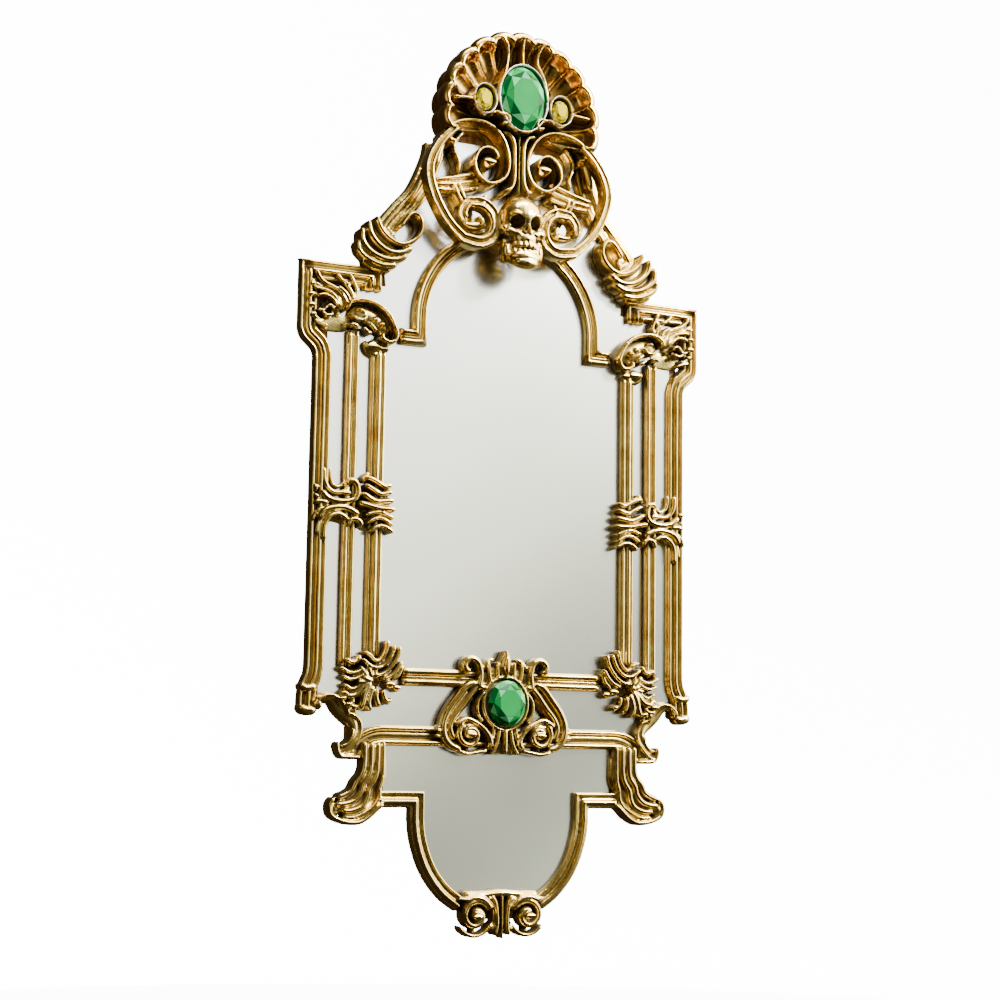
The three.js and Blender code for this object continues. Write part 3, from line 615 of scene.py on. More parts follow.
bracket = spline([(262, 293, 9, crown_out), (256, 299, 11, crown_out + 1), (247, 302, 13, crown_out + 1),
                  (237, 300, 17, crown_out), (226, 291, 24, crown_out - 1), (214, 280, 24, crown_out - 1),
                  (206, 267, 16, crown_out), (206, 256, 15, crown_out), (209, 246, 18, crown_out),
                  (213, 237, 26, crown_out), (213, 228, 28, crown_out)])
strip(built, bracket, 14, crown_out, low_board, DOME, (0.4, 0.25))
lips(built, low_board, [
    (6, 4, [(260, 290), (256, 297), (249, 303), (239, 305), (229, 301), (221, 292), (214, 280)]),
    (5, 3, [(216, 283), (207, 280), (200, 273), (198, 264), (200, 254), (207, 244), (217, 234), (226, 231)]),
    (5, 3, [(209, 262), (210, 253), (216, 245), (225, 241)]),
    (6, 4, [(229, 247), (229, 238), (224, 229), (212, 228), (198, 228)]),
    (4, 3, [(205, 284), (211, 288), (218, 286)])])
balls(built, low_board, [(224, 301, 4, 5), (208, 291, 4, 5), (217, 294, 3.5, 6)])
finish_piece("lower_cluster_carved", built, "lower_cluster", voxel=1.1, hand=0.15)

# ---- Pendant moulding with the lower stile and its scrolled foot ----
# One carving: the fluted lower stile runs down into a scrolled foot, and the reeded moulding goes on from it
# round the pendant plate to the finial.
PENDANT_W, PENDANT_X, PENDANT_UP = 21.0, 118.0, 176.0
bend = spline([(PENDANT_X, PENDANT_UP - 26), (PENDANT_X - 3, PENDANT_UP - 48),
               (PENDANT_X - 11, PENDANT_UP - 74),
               (PENDANT_X - 24, PENDANT_UP - 98), (PENDANT_X - 42, PENDANT_UP - 118),
               (PENDANT_X - 62, PENDANT_UP - 132)])
built = bmesh.new()
strip(built, run([(PENDANT_X + 50, PENDANT_UP), (PENDANT_X, PENDANT_UP), (PENDANT_X, PENDANT_UP - 26)])
      + bend[1:],
      PENDANT_W, crown_out, seat_out, reeded((4, 0.75), (7, 1.0), (5, 0.7), (4, 0.85)), (0, 0))
lips(built, low_board, [
    (38, -4, [(180, 248), (178, 205), (178, 184)]), (38, -2, [(178, 192), (198, 174), (220, 166)]),
    (24, 0, [(176, 170), (194, 160), (222, 163)]), (24, 2, [(222, 172), (226, 164), (222, 158)]),
    (12, 2, [(232, 172), (230, 158)]),
    (9, 5, [(193, 248), (193, 220), (196, 207), (204, 197), (209, 187), (219, 181), (229, 178)]),
    (8.5, 6, [(184, 248), (184.5, 217), (187, 205), (194, 195), (197, 184), (206, 174), (220, 170),
              (230, 170)]),
    (8, 5, [(175, 248), (175.5, 213), (179, 200), (186, 189), (188, 178), (194, 168), (208, 162),
            (222, 162)]),
    (6.5, 3, [(167, 248), (167.5, 205), (171, 190), (172, 178), (178, 168), (190, 160), (204, 154),
              (220, 154)]),
    (7, 4, [(231, 178), (237, 170), (236, 158), (226, 151), (210, 147), (196, 148), (184, 155), (174, 164),
            (166, 171)])])
finish_piece("pendant_moulding_footed", built, "pendant_moulding", voxel=1.2, hand=0.2)

# ---- Bottom finial ----
# Two snail volutes that close the pendant, with short ribs between them and a bar across their tops.


def mirrored(points, side, up=0):
    """The points on the right or the left, counted from a height."""
    return [(side * x, up + z, *more) for x, z, *more in points]


built = bmesh.new()
for side in (1, -1):
    coil = [(60, 52)] + arc(37, 30, 23, 60, 150, 5) + curl(37, 30, 21, 5, 150, -330)
    strip(built, mirrored(coil, side), 9, crown_out + 8, seat_out, LIP, (0.6, 0.8))
    strip(built, mirrored([(37, 54), (37, 6)], side), 46, crown_out - 1, seat_out, DOME)
    strip(built, mirrored(arc(37, 30, 25, 200, 330, 12), side), 6, crown_out + 3, seat_out)
    for k, foot in ((0, 5), (1, 11)):
        rib = [(14 + 5 * k, 54), (9 + 3 * k, 44), (7 + 3 * k, 20), (10 + 5 * k, foot)]
        strip(built, spline(mirrored(rib, side)), 6, crown_out + 7 - 3 * k, seat_out)
balls(built, seat_out, [(37, 30, 6.5, 14), (-37, 30, 6.5, 14)])
strip(built, [(0, 54), (0, 1)], 8, crown_out + 9, seat_out)
strip(built, [(0, 50), (0, 8)], 26, crown_out, seat_out)
strip(built, spline([(-52, 56), (-24, 56), (0, 58), (24, 56), (52, 56)]), 9, crown_out + 3, glass_out)
finish_piece("bottom_finial_carved", built, "bottom_finial", pair=False, voxel=1.0, hand=0.15)

# ---- Cartouche ----
# It straddles the two rails round the lower stone: a drop finial, hooks, double side straps and two volutes.
# Its points are counted from the middle of the stone.
low_gem = extent("cartouche_stone")
CART_UP = middle_of(low_gem, 1)
cart_base = glass_out + 2
built = bmesh.new()
strip(built, arc(0, CART_UP, 31.5, 0, 360, 48, 34.5), 5.5, crown_out + 7, cart_base, LIP, (0, 0))
strip(built, arc(0, CART_UP, 25, 0, 360, 36, 28), 14, crown_out - 1, cart_base, LIP, (0, 0))
for side in (1, -1):
    for width, above, points in (
            (9, 9, [(28, 22), (37, 21), (36, 38), (40, 52), (50, 57), (58, 51), (57, 42), (50, 42)]),
            (10, 8, [(40, 26), (54, 22), (68, 6), (81, -12), (87, -28), (85, -44), (76, -55), (62, -60)]),
            (8, 6, [(32, 26), (46, 14), (60, -4), (73, -20), (77, -34), (71, -48)]),
            (16, 1, [(46, 14), (62, -4), (77, -24), (79, -42)]),
            (4.5, 7, [(30, 15), (37.5, 6), (40, -5), (38, -16), (31, -24)]),
            (8, 10, [(71, -30), (56, -21), (41, -26), (31, -33), (23, -43), (21, -53), (27, -59)]),
            (6, 6, [(66, -38), (55, -29), (44, -30)]),
            (6, 8, [(26, -61), (38, -63), (52, -65), (66, -62)]),
            (5.5, 7, [(8, -33), (10, -46), (14, -58), (20, -66)]),
            (5.5, 6, [(16, -30), (17, -44), (22, -54)]),
            (5, 7, [(11, 31), (12, 44), (12, 54)]), (5, 6, [(21, 27), (24, 42), (24, 52)]),
            (5, 5, [(86, -30), (93, -32), (99, -37)]), (5, 5, [(86, -42), (93, -44), (98, -41)])):
        strip(built, spline(mirrored(points, side, CART_UP)), width, crown_out + above, cart_base)
    strip(built, mirrored(curl(50, CART_UP - 41, 18, 4, 60, -420, 36), side), 7.5, crown_out + 10, cart_base)
    strip(built, mirrored([(50, -24), (50, -60)], side, CART_UP), 34, crown_out - 2, cart_base)
    balls(built, cart_base, [(side * 50, CART_UP - 41, 6.5, 13), (side * 91, CART_UP - 37, 4, 7)])
    strip(built, mirrored(arc(10, CART_UP + 34, 24, 20, 78, 6), side), 7, crown_out + 3, cart_base)
for points, width, above, section, tips in (
        ([(0, 32, 8), (0, 46, 19), (0, 57, 15), (0, 69, 4)], 18, 8, LIP, (0, 0)),
        ([(0, 37, 4), (0, 46, 10), (0, 59, 4)], 9, 12, LIP, (0.6, 0.6)),
        ([(0, -32), (0, -66)], 7, 9, LIP, (0.6, 0.6)),
        ([(-26, -50), (0, -52), (26, -50)], 26, -2, LIP, (0.6, 0.6)),
        ([(-40, 24), (0, 40), (40, 24)], 22, -1, LIP, (0.6, 0.6))):
    strip(built, spline(mirrored(points, 1, CART_UP)), width, crown_out + above, cart_base, section, tips)
finish_piece("cartouche_carved", built, "cartouche", pair=False, voxel=1.1, hand=0.15)

# ---- Shell ----
# The crest is a deep scallop shell, carved from one block: lobed and ribbed round its side, dished in front,
# with concave flutes that spread from the main stone, and raised ribs and bezels that hold the stones. Its
# painted shade is deeper than the frame's, and the beads round the stones take a paler copy of the leaf as a
# painted highlight, nearly white.
# The shell's leaf carries deeper painted shade, reaching further into its flutes.
shell_gilt = gilding("gold_leaf_deep_painted_shade", "#ad8030", "#d8b458", "#ffe67c", 0.022, "#47290f")
# A paler copy of the gold leaf, used as a painted highlight.
highlight_gilt = gilding("gold_leaf_painted_highlight", "#e9d8b4", "#f8ecd0", "#fff6e0")
shell_low, shell_high = extent("shell")
SHELL_R = shell_high[1] - SHELL_UP
LOBES, STEPS_IN_LOBE, STEPS_DOWN_SIDE = 13, 14, 14
FIRST, LAST = math.radians(-17), math.radians(197)
HUB_UP = SHELL_UP - 12
rim_out, back_out = shell_high[2], shell_low[2]


def flute(angle):
    """0 on the ridge between two flutes, 1 along the middle of a flute."""
    share = (angle - FIRST) / (LAST - FIRST) * LOBES % 1.0
    return math.sqrt(max(0.0, 1 - (2 * share - 1) ** 2))


def dish_out(share, deep):
    """The depth of the shell's front at a share of the way out to the rim."""
    floor = rim_out - 30 + 20 * min(share, 0.86) ** 2.8
    end = 0.84 + 0.05 * deep
    wall = min(1.0, max(0.0, (share - end) / 0.06))
    groove = 9.0 * deep * min(1.0, share * 1.6) * (1 - wall)
    bead = 2.2 * math.sin(math.pi * min(1.0, max(0.0, (share - 0.9) / 0.1)))
    return floor + 4 - groove + (rim_out - 2 - floor - 4) * wall * wall * (3 - 2 * wall) + bead


# The shares of the way out are closest where the wall of the rim rises.
SHARES = [0.1, 0.2, 0.3, 0.4, 0.5, 0.58, 0.66, 0.72, 0.78, 0.82,
          0.845, 0.865, 0.885, 0.905, 0.925, 0.945, 0.965, 0.985, 1.0]
built = bmesh.new()
columns = []
steps = LOBES * STEPS_IN_LOBE
for k in range(steps + 1):
    angle = FIRST + (LAST - FIRST) * k / steps
    deep = flute(angle)
    dx, dz = math.cos(angle), math.sin(angle)
    edge = SHELL_R * (0.955 + 0.045 * deep)
    column = []
    for share in SHARES:
        column.append((edge * share * dx, SHELL_UP + edge * share * dz - (SHELL_UP - HUB_UP) * (1 - share),
                       dish_out(share, deep)))
    for fall in range(1, STEPS_DOWN_SIDE + 1):
        q = fall / STEPS_DOWN_SIDE
        bulge = 1.5 + 3.2 * abs(math.sin(2 * math.pi * q)) ** 0.7 * (0.5 + 0.5 * deep) - 2.5 * q
        column.append(((edge + bulge) * dx, SHELL_UP + (edge + bulge) * dz,
                       rim_out - 2 + (back_out - rim_out + 2) * q))
    columns.append([built.verts.new(place(x, z, out)) for x, z, out in column])
hub_front = built.verts.new(place(0, HUB_UP, rim_out - 24))
hub_back = built.verts.new(place(0, HUB_UP, back_out))
for near, far in zip(columns, columns[1:]):
    for k in range(len(near) - 1):
        built.faces.new((near[k], near[k + 1], far[k + 1], far[k]))
    built.faces.new((hub_front, near[0], far[0]))
    built.faces.new((hub_back, far[-1], near[-1]))
for column in (columns[0], columns[-1]):
    built.faces.new([hub_front, *column, hub_back])
bmesh.ops.recalc_face_normals(built, faces=built.faces)
GEM_UP = SHELL_UP + 24
gem_low = extent("crest_stone")[0]
bezel_out = gem_low[2] + 12
strip(built, arc(0, GEM_UP, 22, 0, 360, 32, 30), 26, gem_low[2] + 2, back_out + 8, LIP, (0, 0))
strip(built, spline([(0, GEM_UP + 44, 6, bezel_out + 2), (0, GEM_UP + 62, 5, rim_out - 3),
                     (0, SHELL_UP + SHELL_R - 5, 9, rim_out)]),
      6, rim_out, back_out + 8, LIP, (0, 0))
SIDE_X, SIDE_UP = 56.5, SHELL_UP + 15
for side in (1, -1):
    strip(built, mirrored(spline([
        (36, GEM_UP - 12, 6, bezel_out + 3), (35, GEM_UP + 14, 6, bezel_out + 4),
        (28, GEM_UP + 34, 5.5, bezel_out + 6), (22, GEM_UP + 54, 5.5, rim_out - 3),
        (24, GEM_UP + 70, 6, rim_out),
        (32, GEM_UP + 81, 6.5, rim_out + 1), (43, GEM_UP + 79, 6, rim_out + 1),
        (51, GEM_UP + 71, 5, rim_out)]), side),
        6, rim_out, back_out + 8)
    strip(built, mirrored([(SIDE_X, 14), (SIDE_X, -14)], side, SIDE_UP), 24, gem_low[2] + 3, back_out + 8)
    strip(built, mirrored([(SIDE_X + 17, SIDE_UP - 2, 5, bezel_out + 3),
                           (SHELL_R - 14, SIDE_UP - 4, 8, rim_out - 1)], side),
          6, rim_out, back_out + 8, LIP, (0, 0))
    strip(built, mirrored([(SIDE_X - 8, SIDE_UP + 18, 4, bezel_out + 3),
                           (SIDE_X - 22, SIDE_UP + 30, 4, bezel_out + 2)], side), 4, bezel_out, back_out + 8)
    strip(built, mirrored(spline([(48, GEM_UP - 30), (40, GEM_UP - 25), (31, GEM_UP - 28)])
                          + curl(27, GEM_UP - 34, 9, 4, 60, 330, 16), side), 5, bezel_out + 6, back_out + 8)
for side in (1, -1):
    balls(built, back_out + 6, [(side * 106, SHELL_BASE - 4, 8, rim_out - crown_out - 8),
                                (side * 98, SHELL_BASE - 10, 6, rim_out - crown_out - 12),
                                (side * 112, SHELL_BASE - 12, 5, rim_out - crown_out - 14)])
finish_piece("scallop_shell", built, "shell", pair=False, voxel=1.3, rounds=1, hand=0.25, look=shell_gilt)

# The bezels take the pale leaf as a painted highlight.
built = bmesh.new()
strip(built, arc(0, GEM_UP, 35.5, 0, 360, 64, 46.5), 4, bezel_out + 4, back_out + 12, LIP, (0, 0))
for side in (1, -1):
    strip(built, mirrored(arc(SIDE_X, SIDE_UP, 16.5, 0, 360, 48, 20.5), side), 3.2, bezel_out + 5,
          back_out + 12, LIP, (0, 0))
finish_piece("stone_bezels", built, "shell", pair=False, look=highlight_gilt, hand=0.1)

# ---- Cut stones ----
# Oval brilliants of moulded glass with foil behind them: a flat table, kite and star facets over the girdle,
# and a pavilion below it. Each facet is painted in one of three depths of colour, as painted light and shade.


def cut_glass(colour, **painted_facet_lights):
    """The looks of one colour of glass, as painted facet light and shade, from the deepest shade to the
    palest.
    """
    looks = []
    for depth, (tone, glow) in painted_facet_lights.items():
        made = material(f"foiled_{colour}_glass_{depth}")
        veil = placed(made, "ShaderNodeTexNoise", {"Scale": 55.0, "Detail": 2.0})
        shade = tones(made, (veil, "Fac"), (0, tone), (1, glow))
        looks.append(finish_with(made, {"Roughness": 0.12, "IOR": 1.5, "Specular IOR Level": 0.06},
                                 {"Base Color": (shade, "Color")}))
    return looks


GREENS = cut_glass("green", deep=("#033314", "#06491f"), mid=("#0a6a2c", "#14803c"),
                   pale=("#2f9a50", "#62b87c"))
YELLOWS = cut_glass("yellow", deep=("#6a5a00", "#7e6c00"), mid=("#b49e00", "#c6b200"),
                    pale=("#d8ca00", "#e6dc00"))


# Which painted facet brightness each facet takes in turn, 0 the most shaded and 2 the most lit.
FACET_PAINTED_LIGHT = (1, 0, 2, 1, 2, 0, 1, 0, 2, 1, 0, 0, 1, 2, 0, 2, 1)


def brilliant(name, stands_for, across, up, wide, tall, looks):
    """An eight-fold oval brilliant between the depths of the stone it stands for."""
    back, front = (corner[2] for corner in extent(stands_for))
    built = bmesh.new()

    def ring(count, share, depth, turned=0.0):
        """Points round the stone, at a share of its width and of its depth."""
        turns = [2 * math.pi * (k + turned) / count for k in range(count)]
        return [built.verts.new(place(across + wide / 2 * share * math.cos(a),
                                      up + tall / 2 * share * math.sin(a),
                                      back + (front - back) * depth)) for a in turns]

    girdle, belt = ring(16, 1.0, 0.5), ring(16, 1.0, 0.42)
    kites, table = ring(8, 0.84, 0.78), ring(8, 0.6, 1.0, 0.5)
    keel = ring(8, 0.5, 0.0)
    built.faces.new(table)
    for k in range(8):
        after = (k + 1) % 8
        built.faces.new((kites[k], table[k], table[k - 1]))
        built.faces.new((kites[k], kites[after], table[k]))
        built.faces.new((kites[k], girdle[2 * k], girdle[2 * k + 1]))
        built.faces.new((kites[k], girdle[2 * k + 1], kites[after]))
        built.faces.new((kites[after], girdle[2 * k + 1], girdle[(2 * k + 2) % 16]))
        built.faces.new((belt[2 * k], keel[k], belt[2 * k + 1]))
        built.faces.new((belt[2 * k + 1], keel[k], keel[after]))
        built.faces.new((belt[2 * k + 1], keel[after], belt[(2 * k + 2) % 16]))
    for k in range(16):
        built.faces.new((girdle[k], belt[k], belt[(k + 1) % 16], girdle[(k + 1) % 16]))
    built.faces.new(list(reversed(keel)))
    bmesh.ops.recalc_face_normals(built, faces=built.faces)
    # Each facet takes one of three painted brightnesses, standing in for light and shade on the facets.
    for k, face in enumerate(built.faces):
        face.material_index = FACET_PAINTED_LIGHT[k % len(FACET_PAINTED_LIGHT)]
    bmesh.ops.bevel(built, geom=list(built.edges), offset=0.25 * MM, segments=1, affect="EDGES")
    piece = piece_of(name, built, [stands_for], looks[0], "mirror", 1)
    for look in looks[1:]:
        piece.data.materials.append(look)
    built.free()


brilliant("crest_stone_cut", "crest_stone", 0, GEM_UP, 67, 89, GREENS)
brilliant("cartouche_stone_cut", "cartouche_stone", 0, CART_UP, 53, 60, GREENS)
for word, side in (("right", 1), ("left", -1)):
    brilliant("side_stone_cut_" + word, "side_stone_" + word, side * SIDE_X, SIDE_UP, 24, 31, YELLOWS)

# ---- Crest scrolls, with their cross bars, and the post ----
# Each scroll rises from the shell's corner, arches over and winds into a volute with a ball in its eye.
SCROLL = [(1, 0), (1, 0.4), (0.75, 0.52), (0.4, 0.6), (0.1, 0.7), (-0.1, 0.86), (-0.3, 0.98), (-0.5, 1.0),
          (-0.72, 0.98),
          (-0.9, 0.86), (-1, 0.62), (-1, 0)]
crest_glass, scroll_out = (corner[2] for corner in extent("crest_scroll_right"))
built = bmesh.new()
wind = spline([(104, 1048, 9), (95, 1059, 13), (80, 1066, 15), (61, 1069, 15), (44, 1066, 14),
               (29, 1055, 14), (20, 1038, 13),
               (17, 1019, 13), (22, 1003, 13), (31, 995, 12), (42, 992, 12), (54, 998, 11), (61, 1010, 11),
               (60, 1023, 10),
               (53, 1033, 9), (43, 1036, 8), (34, 1031, 7), (32, 1023, 6)], 2.0)
strip(built, wind, 14, scroll_out + 6, crest_glass, SCROLL, (0.5, 0.5))
balls(built, crest_glass, [(41, 1020, 9, scroll_out - crown_out + 3)])
strip(built, [(41, 1034), (41, 1002)], 34, scroll_out - 14, crest_glass, DOME)
for k in range(3):
    strip(built, spline([(52, 1003 - 9 * k), (70, 998 - 9 * k), (90, 992 - 8 * k), (116, 986 - 6 * k)]), 8.5,
          scroll_out - 4 - 2 * k, crest_glass)
for k in range(2):
    strip(built, spline([(90 - 8 * k, 984), (80 - 7 * k, 965), (66 - 4 * k, 943)]), 5.5, scroll_out - 4,
          seat_out)
strip(built, spline([(97, 1056), (106, 1040), (112, 1022), (116, 1004)]), 12, scroll_out - 4, crest_glass)
strip(built, spline([(88, 1028), (82, 1014), (84, 1000)]), 7, scroll_out - 6, crest_glass)
strip(built, spline([(76, 1058), (88, 1042), (88, 1026)]), 7, scroll_out - 8, crest_glass)
finish_piece("crest_scroll_wound", built, "crest_scroll", voxel=1.1, hand=0.2)

# The post stands between the scrolls, with a rib down its front and two that part at its ends.
POST_RIB = [(24, 1062), (13, 1058), (7.5, 1046), (6.5, 1020), (7.5, 996), (13, 984), (20, 983)]
built = bmesh.new()
for side in (1, -1):
    strip(built, spline(mirrored(POST_RIB, side)), 7.5, scroll_out + 8, crest_glass)
strip(built, [(0, 1062), (0, 978)], 7, scroll_out + 9, crest_glass)
strip(built, [(0, 1056), (0, 980)], 14, scroll_out - 3, crest_glass)
finish_piece("crest_post_reeded", built, "crest_post", pair=False, voxel=1.0, hand=0.15)

# ---- Skull ----
# A small carved skull hangs from the post, in front of the crown of the arch. It is made of rounded masses
# run together, then the sockets, the nose and the gap between the teeth are cut in. Its leaf takes a darker
# umber painted shade that reaches further into the sockets.
# Painted shade: darker umber in the hollows, reaching further into the sockets.
skull_gilt = gilding("gold_leaf_dark_painted_shade", "#c49a44", "#ecd27c", "#ffea88", 0.018, "#2e1606")
FACE_OUT = extent("skull")[1][2] - 5
SKULL_UP = middle_of(extent("skull"), 1) - 7


def mass(across, up, out, wide, tall, deep):
    """An oval lump of the skull, placed from the middle of the face."""
    bpy.ops.mesh.primitive_uv_sphere_add(segments=32, ring_count=20, radius=MM,
                                         location=place(across, SKULL_UP + up, FACE_OUT + out),
                                         scale=(wide, deep, tall))
    return bpy.context.object


def joined(parts):
    """The parts as one object, with its place, turn and scale put into its mesh."""
    select_only(*parts)
    bpy.ops.object.join()
    bpy.ops.object.transform_apply(location=True, rotation=True, scale=True)
    return bpy.context.object


def cut_out(piece, cutter):
    carve = piece.modifiers.new("carve", "BOOLEAN")
    carve.operation = "DIFFERENCE"
    carve.solver = "MANIFOLD"
    carve.object = cutter
    select_only(piece)
    bpy.ops.object.modifier_apply(modifier="carve")
    bpy.data.objects.remove(cutter)
    return piece


lumps = [mass(0, 20, -22, 31, 30, 27), mass(0, 14, -10, 25, 13, 14), mass(0, -12, -9, 17, 12, 13),
         mass(0, 6, -2, 4, 9, 5),
         mass(0, -37, -12, 25, 12, 18), mass(0, -45, -4, 18, 8, 11), mass(0, -25, -15, 22, 17, 14)]
for side in (1, -1):
    lumps += [mass(side * 12, 20.5, -3, 11, 4.5, 7), mass(side * 21, -3, -9, 10, 6.5, 9),
              mass(side * 27, 2, -18, 6.5, 6, 12),
              mass(side * 24, -27, -19, 7, 18, 11), mass(side * 13, -5, -4, 7, 4, 6)]
# Two rows of eight teeth stand along the curve of the jaws.
for up, high in ((-21, 5.2), (-30.5, 4.6)):
    for k in range(8):
        turn = math.radians(21 * (k - 3.5))
        lumps.append(mass(18.5 * math.sin(turn), up, 17 * math.cos(turn) - 15.5, 3.3, high, 3.0))
skull = joined(lumps)
run_together(skull, 0.8, 3)
cuts = [mass(0, 1.5, 3, 2.8, 5, 9), mass(0, -25.8, 0, 18, 1.1, 22)]
for side in (1, -1):
    cuts += [mass(side * 13.2, 10, 0, 9.6, 9.2, 20), mass(side * 3.6, -3, 3, 3.6, 5, 10),
             mass(side * 25, -15, 0, 6.5, 7, 14)]
for cutter in cuts:
    cut_out(skull, cutter)
built = bmesh.new()
built.from_mesh(skull.data)
bpy.data.objects.remove(skull)
finish_piece("skull_carved", built, "skull", pair=False, voxel=0.8, rounds=3, hand=0.15, look=skull_gilt)

# ---- Straps ----
# Long loops laid over the crest scrolls, from the shell's corners out and down into volutes beside the skull.
strap_back, strap_out = (corner[2] for corner in extent("strap_right"))
strap_base = strap_back - 8
built = bmesh.new()
strap = spline([(92, 1058, 9), (106, 1046, 11), (119, 1030, 12), (129, 1010, 13), (132, 990, 13),
                (126, 965, 13), (113, 940, 13), (98, 921, 13),
                (82, 907, 15)], 2.5) + [(x, z, 17) for x, z in arc(61, 931, 26, -80, -285, 22, 27)] \
    + [(x, z, 14) for x, z in spline([(74, 957), (82, 948), (84, 938), (78, 930)])]
STRAP = [(1, 0), (1, 0.72), (0.88, 0.88), (0.68, 0.94), (0.48, 0.9), (0.3, 0.8), (0.12, 0.78), (-0.06, 0.84),
         (-0.22, 0.94),
         (-0.42, 1.0), (-0.66, 0.99), (-0.88, 0.9), (-1, 0.74), (-1, 0)]
strip(built, strap, 13, strap_out + 2, strap_base, STRAP, (0.4, 0.5))
strip(built, spline([(52, 951, 8), (54, 960, 7), (50, 970, 4)]), 6, strap_out, strap_base, LIP)
strip(built, spline([(47, 930, 8), (60, 928, 12), (72, 927, 9), (86, 932, 4)]), 9, strap_out - 5, strap_base)
strip(built, [(61, 950), (61, 914)], 36, strap_back - 2, seat_out + 4, DOME)
strip(built, spline([(60, 940, 6), (54, 934, 6), (58, 926, 5)]), 5, strap_out - 2, strap_base)
finish_piece("strap_scrolled", built, "strap", voxel=1.1, hand=0.2)

# ---- Wall hangers ----
# Pressed strap hangers, screwed to the battens: a steel plate whose top is rolled into a knuckle, and a bent
# wire ring that swings in it. Both are zinc plated, which leaves a bright grey skin with a faint cloudy
# spangle.
zinc = material("zinc_plated_steel")
spangle = placed(zinc, "ShaderNodeTexVoronoi", {"Scale": 420.0})
zinc_tone = tones(zinc, (spangle, "Distance"), (0, "#b4b9bd"), (1, "#c9cdcf"))
zinc_rough = node(zinc, "ShaderNodeMapRange", {"To Min": 0.26, "To Max": 0.4},
                  {"Value": (spangle, "Distance")})
finish_with(zinc, {"Metallic": 1.0}, {"Base Color": (zinc_tone, "Color"),
                                      "Roughness": (zinc_rough, "Result")})


def slab(low, high):
    """A flat blank between two corners, each across, up and out."""
    bpy.ops.object.select_all(action="DESELECT")
    bpy.ops.mesh.primitive_cube_add(size=MM, location=place(*[(a + b) / 2 for a, b in zip(low, high)]),
                                    scale=(high[0] - low[0], high[2] - low[2], high[1] - low[1]))
    return joined([bpy.context.object])


def turned(across, up, out, radius, length, along="OUT", sides=40):
    """A round blank, with its axis out from the wall or across it."""
    bpy.ops.object.select_all(action="DESELECT")
    axis = (math.radians(90), 0, 0) if along == "OUT" else (0, math.radians(90), 0)
    bpy.ops.mesh.primitive_cylinder_add(vertices=sides, radius=radius * MM, depth=length * MM,
                                        location=place(across, up, out), rotation=axis)
    return joined([bpy.context.object])


def round_corners(piece, radius, chosen=lambda edge_middle: True):
    """Rounds the corners of a blank, on the edges that run out from the wall."""
    select_only(piece)
    verts = piece.data.vertices
    for part in (piece.data.polygons, verts, piece.data.edges):
        part.foreach_set("select", [False] * len(part))
    for edge in piece.data.edges:
        a, b = (verts[k].co for k in edge.vertices)
        edge.select = abs(a.y - b.y) > 0.9 * (a - b).length and chosen((a + b) / 2)
    bpy.ops.object.mode_set(mode="EDIT")
    bpy.ops.mesh.select_mode(type="EDGE")
    bpy.ops.mesh.bevel(offset=radius * MM, segments=8, affect="EDGES")
    bpy.ops.object.mode_set(mode="OBJECT")


def soften_edges(piece, width, segments=3):
    bevel = piece.modifiers.new("soften", "BEVEL")
    bevel.width = width * MM
    bevel.segments = segments
    bevel.limit_method = "ANGLE"
    select_only(piece)
    bpy.ops.object.modifier_apply(modifier="soften")
    return piece


def screw(across, up, out, radius, length):
    """A slotted pan-head screw, its head towards the wall."""
    head = soften_edges(turned(across, up, out, radius, length), length * 0.45)
    return cut_out(head, slab((across - radius - 1, up - 0.5, out - length),
                              (across + radius + 1, up + 0.5, out - length * 0.1)))


def fit_pair(name, parts, stands_for, look, bodies=("mirror", "mirror")):
    """Puts the parts together as one piece, with its mirror image on the left."""
    piece = joined(parts)
    built = bmesh.new()
    built.from_mesh(piece.data)
    bpy.data.objects.remove(piece)
    pair_of(name, built, [stands_for], look, bodies, 35)
    built.free()


hanger_low, hanger_high = extent("hanger_strap_right")
ring_low, ring_high = extent("hanger_ring_right")
hanger_x, plate_out = (hanger_low[0] + hanger_high[0]) / 2, hanger_high[2]
WIRE_R, SHEET, RUNNING, CORNER_R = 1.5, 1.2, 0.15, 5.0
KNUCKLE_R = WIRE_R + RUNNING + SHEET
HEAD_R, HEAD_H, HEAD_SUNK = 4.0, 2.4, 0.6
bar_up = ring_low[1] + WIRE_R
bar_depth = (ring_low[2] + ring_high[2]) / 2
sheet = slab((hanger_low[0], hanger_low[1], plate_out - SHEET), (hanger_high[0], bar_up, plate_out))
round_corners(sheet, CORNER_R, lambda middle: middle.z < place(0, bar_up - 10, 0).z)
soften_edges(sheet, 0.25, 2)
knuckle = turned(hanger_x, bar_up, bar_depth, KNUCKLE_R, hanger_high[0] - hanger_low[0], "ACROSS")
soften_edges(knuckle, 0.25, 2)
strap_parts = [sheet, knuckle] + [screw(hanger_x, bar_up - down, plate_out - SHEET - HEAD_SUNK, HEAD_R,
                                        HEAD_H)
                                  for down in (10.5, 36)]
for part in (sheet, knuckle):
    cut_out(part, turned(hanger_x, bar_up, bar_depth, WIRE_R + RUNNING, 40, "ACROSS"))
fit_pair("hanger_strap_rolled", strap_parts, "hanger_strap", zinc)

